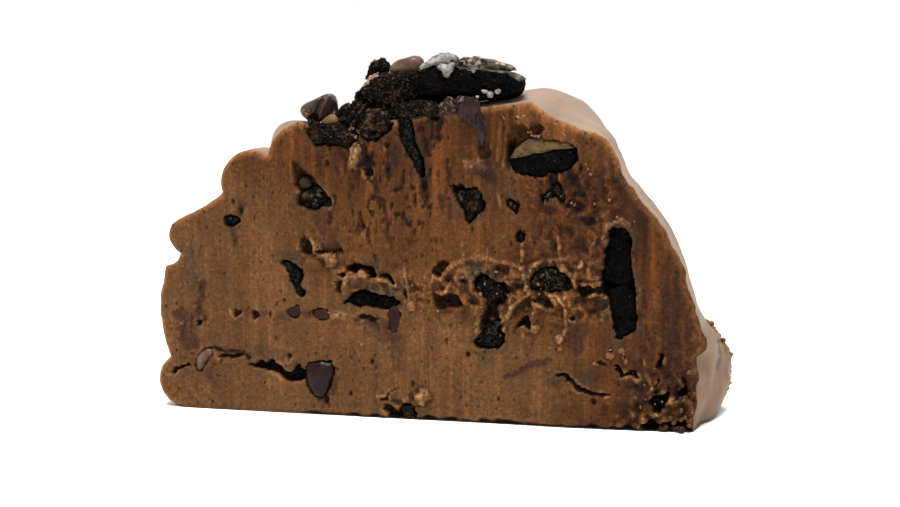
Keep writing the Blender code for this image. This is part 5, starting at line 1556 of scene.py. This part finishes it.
# dark chocolate, bloom, roughness, coat
CHIPS = {
    "cut": ((0.0135, 0.0052, 0.0045), (0.026, 0.0115, 0.0100), 0.5, 0.05),
    "bloomed": ((0.016, 0.0070, 0.0042), (0.050, 0.031, 0.024), 0.27, 0.32),
    "glossy": ((0.0040, 0.0014, 0.0010), (0.0120, 0.0048, 0.0036), 0.28, 0.20),
    "milk": ((0.050, 0.024, 0.014), (0.105, 0.066, 0.046), 0.30, 0.25),
    "melted": ((0.0070, 0.0024, 0.0020), (0.0240, 0.0105, 0.0090), 0.30, 0.25),
    "ball": ((0.0080, 0.0062, 0.0045), (0.022, 0.0175, 0.0125), 0.8, 0.0),
}
FINISH = {}
for recipe_of, rows in ((cookie_material, COOKIES), (cream_material, CREAMS), (chip_material, CHIPS)):
    for look, row in rows.items():
        FINISH[look] = recipe_of(look + "_finish", *row)
print("finishes:", ", ".join(FINISH))

# %% [markdown]
# Each piece in a cut face sits in its own pocket, a little behind the knife's plane. A chip that
# the knife met stands a little proud, because it is harder than the fudge round it.

# %% Pieces set in the faces
def piece(name, node, look, points, faces, paint=None, share=None):
    """Names and finishes one piece, with paint laid over it by share."""
    marks = None if share is None else np.stack([share, 0 * share, 0 * share], -1)
    return make_piece(name, points, faces, node, FINISH[look], paint, marks)


for pieces, plane, into in ((SET_PIECES, FRONT_Y, 1), (BACK_PIECES, BACK_Y, -1)):
    for number, (name, look, sink, soft, outline) in enumerate(pieces):
        middle, half, _ = reach_of(outline)
        deep = min(5.0, 2.4 + 0.5 * half.min())
        front = plane + into * (float(face_relief(middle[0])) + sink)
        points, faces, _ = chunk_points(look, front, deep, soft, outline, 100 + number, into)
        piece(name + "_shown", name, look, points, [faces])
print("set pieces made")

# %% [markdown]
# ## The topping
# Each piece on top rests on the ones below it, and some were pressed into the cut edge. A piece
# may carry paint of its own over its finish: a smear of cream, or dust from what broke over it.

# %% Paint of the pieces on top
def smear(points, direction, toward, low, high, seed):
    """Share of a smear on the side of a piece that faces a direction, with a torn edge."""
    toward = np.array(toward) / np.linalg.norm(toward)
    return ease(low, high, direction @ toward + 0.22 * fractal(points, 1.8, seed, 3))


def lump_paint(points, direction):
    """A cream smear over the lump's upper left, browner at its left end."""
    paint = mix((0.20, 0.125, 0.085), (0.36, 0.35, 0.33), ease(-16, -14, points[:, 0]))
    return paint, smear(points, direction, (-0.75, -0.25, 0.9), 0.84, 0.97, 7)


def slab_paint(points, _):
    """Pale dust along the slab's upper edge, to the right of the cream."""
    crown = 70.2 - 0.10 * (points[:, 0] + 2) - ease(9, 14, points[:, 0]) * 0.9
    share = ease(-0.9, -0.4, points[:, 2] - crown + 0.45 * fractal(points, 1.1, 9, 3))
    paint = mix((0.030, 0.024, 0.019), (0.130, 0.112, 0.092), ease(-0.5, 0.6, fractal(points, 1.2, 8, 3)))
    return paint, share * ease(-1.0, 2.0, points[:, 0]) * 0.8


def cream_paint(points, _):
    """Dark crumb pressed into the right part of the cream, grain by grain."""
    away, value = cells(points, 1.0, 6)
    pale = ease(0.25, 0.6, value) * ease(0.75, 0.4, away) + 0.25 * ease(-0.4, 0.6, points[:, 0] - 6)
    share = 0.95 * ease(-0.5, 1.0, points[:, 0] + 0.8 * fractal(points, 1.5, 6, 3))
    return mix((0.012, 0.008, 0.005), (0.22, 0.17, 0.125), pale), share


def bit_paint(points, direction):
    """A thin smear over the upper left of the bit behind."""
    share = 0.7 * smear(points, direction, (-0.5, -0.6, 0.7), 0.88, 1.05, 5)
    return np.tile(PALETTE["ash"], (len(points), 1)), share


OVERPAINT = {"cookie_lump_centre": lump_paint, "cookie_slab_top": slab_paint,
             "cream_on_slab": cream_paint, "cookie_bit_behind": bit_paint}
print("painted over:", ", ".join(OVERPAINT))

# %% [markdown]
# All the pieces lean back and to the left as they go deeper, as the loaf was patted down from the
# right. The slab alone is turned a little.

# %% Pieces on top
LEAN = (-0.24, -0.07)
TURNED = {"cookie_slab_top": -3.0}
for number, (node, look, front, deep, soft, outline) in enumerate(TOPPING):
    parts = [chunk_points(look, front, deep, soft, outline, 200 + number,
                          turn=TURNED.get(node, 0.0), lean=LEAN)]
    for owner, *extra in EXTRA.values():
        if owner == node:
            parts.append(chunk_points(*extra, 230 + number, lean=LEAN))
    points, faces = join(parts)
    direction = np.concatenate([part[2] for part in parts])
    paint, share = OVERPAINT[node](points, direction) if node in OVERPAINT else (None, None)
    piece(node + "_shown", node, look, points, faces, paint, share)
print("pieces on top:", len(TOPPING))

# %% [markdown]
# A moulded chip has a round foot and a soft tip. The one at the left was pushed over while it was
# warm, so its tip lies folded down in a ridge. Those behind stand as they were dropped.

# %% Chips and the pieces behind
def kiss_points(x, y, z, wide, deep, high, lean):
    """A moulded chip: round foot, sides sqrt(1 - h^2) (1 - 0.38 h), and a soft tip leaning over."""
    cube, faces = cube_points(26)
    direction = cube / np.linalg.norm(cube, axis=1)[:, None]
    lat = direction[:, 2]
    up = np.maximum(lat, 0)
    around = np.sqrt(np.maximum(0, 1 - lat ** 2))
    drawn = np.where(lat > 0, around * (1 - 0.38 * up), np.minimum(1, around * 1.12))
    flat = direction[:, :2] / np.maximum(np.linalg.norm(direction[:, :2], axis=1), 1e-6)[:, None]
    rise = np.where(lat > 0, lat, lat * 0.72) * high / 2 + 0.4 * up ** 4
    points = np.c_[drawn * flat[:, 0] * wide / 2 + lean * up ** 3, drawn * flat[:, 1] * deep / 2, rise]
    points = points + direction * (0.12 * fractal(points, 2.6, 40, 2))[:, None]
    return points + np.array([x, y, z]), faces


def folded_chip():
    """The chip on the left: a drop pushed over, its tip folded down in a ridge on the right."""
    points, faces, direction = chunk_points("bloomed", -14.6, 6.2, 2.5, KISS, 240)
    ridge_x = -26.6 + 0.42 * (points[:, 2] - 60.0)
    away = points[:, 0] - ridge_x
    front = ease(0.2, -0.4, direction[:, 1])
    fold = 1.7 * np.exp(-(away / 0.6) ** 2) - 1.1 * np.exp(-((away - 1.3) / 0.6) ** 2)
    fold = fold - 1.0 * np.exp(-((away + 1.3) / 0.6) ** 2)
    points[:, 1] -= fold * front
    points -= np.array([0.6, 0, 0.35])
    return points, faces


points, faces = folded_chip()
piece("chip_on_left_shown", "chip_on_left", "bloomed", points, [faces])
for node, x, y, z, wide, deep, high in (("back_chip_left", -28.4, 9.6, 60.0, 6.4, 6.4, 5.2),
                                        ("back_chip_right_top", -9.0, 9.4, 62.8, 6.2, 6.2, 4.8)):
    points, faces = kiss_points(x, y, z, wide, deep, high, 0.9)
    piece(node + "_shown", node, "bloomed", points, [faces])
BEHIND = (
    ("back_cookie_left", -21.0, 4.4, 60.8, 10.6, 8.0, 5.6, 6, 20, "wafer", 6),
    ("back_cookie_right", 1.6, 6.6, 64.4, 12.4, 8.4, 5.0, 12, -24, "wafer", 6),
    ("back_crumb_top", -9.6, 1.4, 62.4, 5.4, 4.8, 4.0, 0, 40, "grey", 3),
)
for number, (node, x, y, z, wide, deep, high, slant, yaw, look, soft) in enumerate(BEHIND):
    shape = oval(0, 0, wide, high, slant, 80 + number)
    points, faces, _ = chunk_points(look, -deep / 2, deep, soft, shape, 250 + number)
    piece(node + "_shown", node, look, turn_z(points, yaw) + np.array([x, y, z]), [faces])
print("topping made")

# %% [markdown]
# A ribbon of melted chocolate ran down from under the slab before it set, and beads of cream
# were squeezed out with it.

# %% Ribbon and beads
FOOT = ((-2.9, 59.8), (-2.7, 61.5), (-0.9, 62.9), (1.5, 63.9), (3.9, 63.5), (3.9, 61.7), (2.3, 60.4),
        (-0.5, 59.6))
foot = chunk_points("melted", -15.7, 3.6, 3.0, FOOT, 261)
points, faces, direction = chunk_points("melted", -16.32, 1.2, 2.6, DRAPE, 260)
lines = np.sin(points[:, 0] * 3.1 + 0.35 * points[:, 2] + 1.2 * fractal(points, 3, 41, 2))
points[:, 1] -= 0.30 * lines * ease(0, -0.5, direction[:, 1])
points, faces = join([(points, faces), foot[:2]])
piece("melted_ribbon", None, "melted", points, faces)
# x, depth and z of a bead, its half sizes and its slant
BEADS = ((6.6, -15.0, 64.9, 0.66, 0.24, -18), (9.4, -14.9, 65.0, 0.36, 0.22, 6),
         (7.9, -15.2, 64.3, 0.16, 0.16, 0), (4.6, -14.9, 68.9, 0.4, 0.4, 0),
         (5.4, -15.2, 63.9, 0.35, 0.3, 0))
shells = []
for number, (x, y, z, wide, high, slant) in enumerate(BEADS):
    shape = oval(0, 0, 2 * wide, 2 * high, slant, 90 + number)
    points, faces, _ = chunk_points("cream", -0.7, 1.4, 2.2, shape, 270 + number)
    shells.append((points * 0.98 + np.array([x, y, z]), faces))
points, faces = join(shells)
piece("cream_beads", None, "cream", points, faces)
print("beads of cream:", len(BEADS))

# %% [markdown]
# Loose crumb lies wherever something broke: on the topping, in the seam and at the lower right
# corner. Hundreds of them show, so each has only a few dozen faces.

# %% Loose crumb
# a spot is x, depth, z, its spread along each, how many crumbs, smallest and largest in mm
def scatter(name, look, spots, seed, colours=None):
    """Small uneven lumps joined as one piece, most of them near the smallest size of their spot."""
    draw = np.random.default_rng(seed)
    cube, faces = cube_points(3)
    direction = cube / np.linalg.norm(cube, axis=1)[:, None]
    shells, shades = [], []
    for x, y, z, wide, deep, high, count, small, large in spots:
        for _ in range(count):
            size = small + (large - small) * draw.random() ** 2
            stretch = draw.uniform(0.6, 1.3, 3) * size / 2
            bump = 1 + 0.22 * np.sin(3 * direction @ draw.normal(size=3) + 6 * draw.random())
            bump = bump + 0.10 * draw.normal(size=len(cube)).clip(-1.4, 1.4)
            centre = np.array([x, y, z]) + np.array([wide, deep, high]) * draw.uniform(-1, 1, 3)
            shells.append((direction * bump[:, None] * stretch + centre, faces))
            shades.append(np.full(len(cube), draw.random()))
    points, faces = join(shells)
    paint = share = None
    if colours is not None:
        tone = np.concatenate(shades)
        paint, share = mix(*colours, tone), np.ones(len(points))
    piece(name, None, look, points, faces, paint, share)


scatter("crumbs_on_topping", "porous", (
    (-24.5, -14.5, 58.8, 4.5, 1.2, 1.0, 26, 0.4, 1.3), (-14.5, -14.2, 62.5, 5.0, 1.0, 2.0, 22, 0.4, 1.2),
    (-5.5, -15.2, 61.2, 3.0, 1.0, 1.2, 18, 0.4, 1.2),
    (-20.0, -15.4, 57.6, 1.6, 0.4, 1.6, 10, 0.4, 1.0)), 301)
scatter("corner_crumbs", "ochre", (
    (43.8, -14.9, 3.2, 3.2, 0.4, 2.6, 26, 0.3, 1.2), (45.6, -14.6, 9.0, 1.3, 0.5, 3.6, 12, 0.3, 1.0),
    (43.4, -15.3, 0.7, 2.2, 0.5, 0.4, 14, 0.4, 1.5)), 302, ((0.010, 0.0036, 0.0013), (0.085, 0.037, 0.013)))
scatter("toe_crumbs", "ochre", (
    (51.3, 4.6, 12.5, 0.3, 1.5, 3.2, 26, 0.4, 1.4), (48.8, 3.8, 17.8, 0.5, 1.2, 1.2, 12, 0.4, 1.3),
    (50.9, 4.6, 7.8, 0.3, 1.0, 2.4, 12, 0.4, 1.2)), 304, ((0.060, 0.024, 0.008), (0.150, 0.078, 0.036)))
scatter("pale_grit", "ochre", (
    (20.0, -15.8, 56.6, 4.6, 0.2, 0.5, 18, 0.3, 0.8), (3.6, -16.0, 50.6, 1.6, 0.2, 1.0, 10, 0.3, 0.8),
    (33.2, -15.6, 14.8, 1.4, 0.2, 1.2, 9, 0.3, 0.8), (21.8, -15.9, 16.4, 0.8, 0.2, 1.4, 6, 0.3, 0.8),
    (10.0, -16.0, 60.2, 1.4, 0.1, 0.5, 3, 0.4, 0.8), (14.6, -16.0, 59.6, 1.6, 0.1, 0.6, 4, 0.4, 0.7),
    (27.0, -15.9, 49.8, 1.4, 0.1, 1.6, 4, 0.4, 0.8), (26.4, -15.9, 42.4, 3.0, 0.1, 2.4, 5, 0.3, 0.8),
    (33.5, -15.6, 42.5, 3.0, 0.2, 2.4, 4, 0.3, 0.8), (-20.3, -16.3, 57.0, 1.2, 0.3, 1.2, 16, 0.3, 0.9),
    (-18.8, -16.0, 53.6, 1.0, 0.2, 1.6, 12, 0.3, 0.8), (-29.6, -15.6, 60.6, 0.8, 0.4, 0.8, 7, 0.5, 1.2),
    (-5.0, -16.0, 24.6, 3.0, 0.2, 3.0, 8, 0.3, 0.8), (10.0, -16.0, 29.0, 9.0, 0.2, 3.6, 16, 0.3, 0.7),
    (-23.5, -16.0, 20.4, 2.0, 0.2, 0.8, 6, 0.4, 0.8), (37.0, -15.2, 8.0, 6.0, 0.3, 5.0, 20, 0.3, 0.7),
    (8.0, -16.0, 4.0, 18.0, 0.1, 3.0, 10, 0.3, 0.6)), 303, ((0.060, 0.026, 0.009), (0.170, 0.098, 0.050)))
print("loose crumb made")

# %% [markdown]
# ## Floor, light and camera
# The slice stands on a white table in a light tent. A large soft light above and behind brightens
# the skin, and the cut face is lit by the white room alone.

# %% Stage
def direction_angles(aim):
    """The turn that points an object's -Z axis along a direction, with +Y up."""
    x, y, z = aim / np.linalg.norm(aim)
    return (math.acos(-z), 0.0, math.atan2(-x, y))


floor_mesh = bpy.data.meshes.new("floor")
FLOOR_REACH, FLOOR_Z = 3.0, -0.0001
corners = [(a * FLOOR_REACH, b * FLOOR_REACH, FLOOR_Z) for a, b in ((-1, -1), (1, -1), (1, 1), (-1, 1))]
floor_mesh.from_pydata(corners, [], [(0, 1, 2, 3)])
floor = bpy.data.objects.new("floor", floor_mesh)
bpy.context.scene.collection.objects.link(floor)
table = Recipe("table_finish", Specular_IOR_Level=0.2)
cloud = table.noise(60.0, 2.0)
table.finish(table.blend(cloud, (0.93, 0.93, 0.93), (0.96, 0.96, 0.96)), 0.6 + cloud * 0.1, cloud, 0.01)
floor_mesh.materials.append(table.material)

world = bpy.data.worlds.new("room")
world.use_nodes = True
room = world.node_tree.nodes["Background"]
room.inputs["Color"].default_value = (1.0, 1.0, 1.0, 1.0)
room.inputs["Strength"].default_value = 1.0
bpy.context.scene.world = world
lamp = bpy.data.lights.new("light_above", "SUN")
lamp.energy, lamp.angle = 6.0, math.radians(28)
above = bpy.data.objects.new("light_above", lamp)
bpy.context.scene.collection.objects.link(above)
above.rotation_euler = direction_angles(np.array([-0.02, 0.24, -1.0]))

bpy.context.scene.view_settings.view_transform = "Standard"
print("floor, room and one lamp at", round(math.degrees(lamp.angle)), "degrees wide")

# %% [markdown]
# The photo was taken from a little to the right and just above the table, so the camera looks down
# by five degrees. The lens and distance give the slice the width that it has in the photo.

# %% Camera
AZIMUTH, ELEVATION, DISTANCE, LENS = 15.0, 5.05, 0.300, 61.2
target = np.array([5.35, -15.6, 33.33]) * MM
around, up = math.radians(AZIMUTH), math.radians(ELEVATION)
bearing = np.array([math.sin(around) * math.cos(up), -math.cos(around) * math.cos(up), math.sin(up)])
camera = bpy.data.objects.new("camera", bpy.data.cameras.new("camera"))
bpy.context.scene.collection.objects.link(camera)
camera.location = target + DISTANCE * bearing
camera.rotation_euler = direction_angles(-bearing)
camera.data.lens = LENS
camera.data.clip_start = 0.01
bpy.context.scene.camera = camera
print("camera at", [round(value, 4) for value in camera.location])
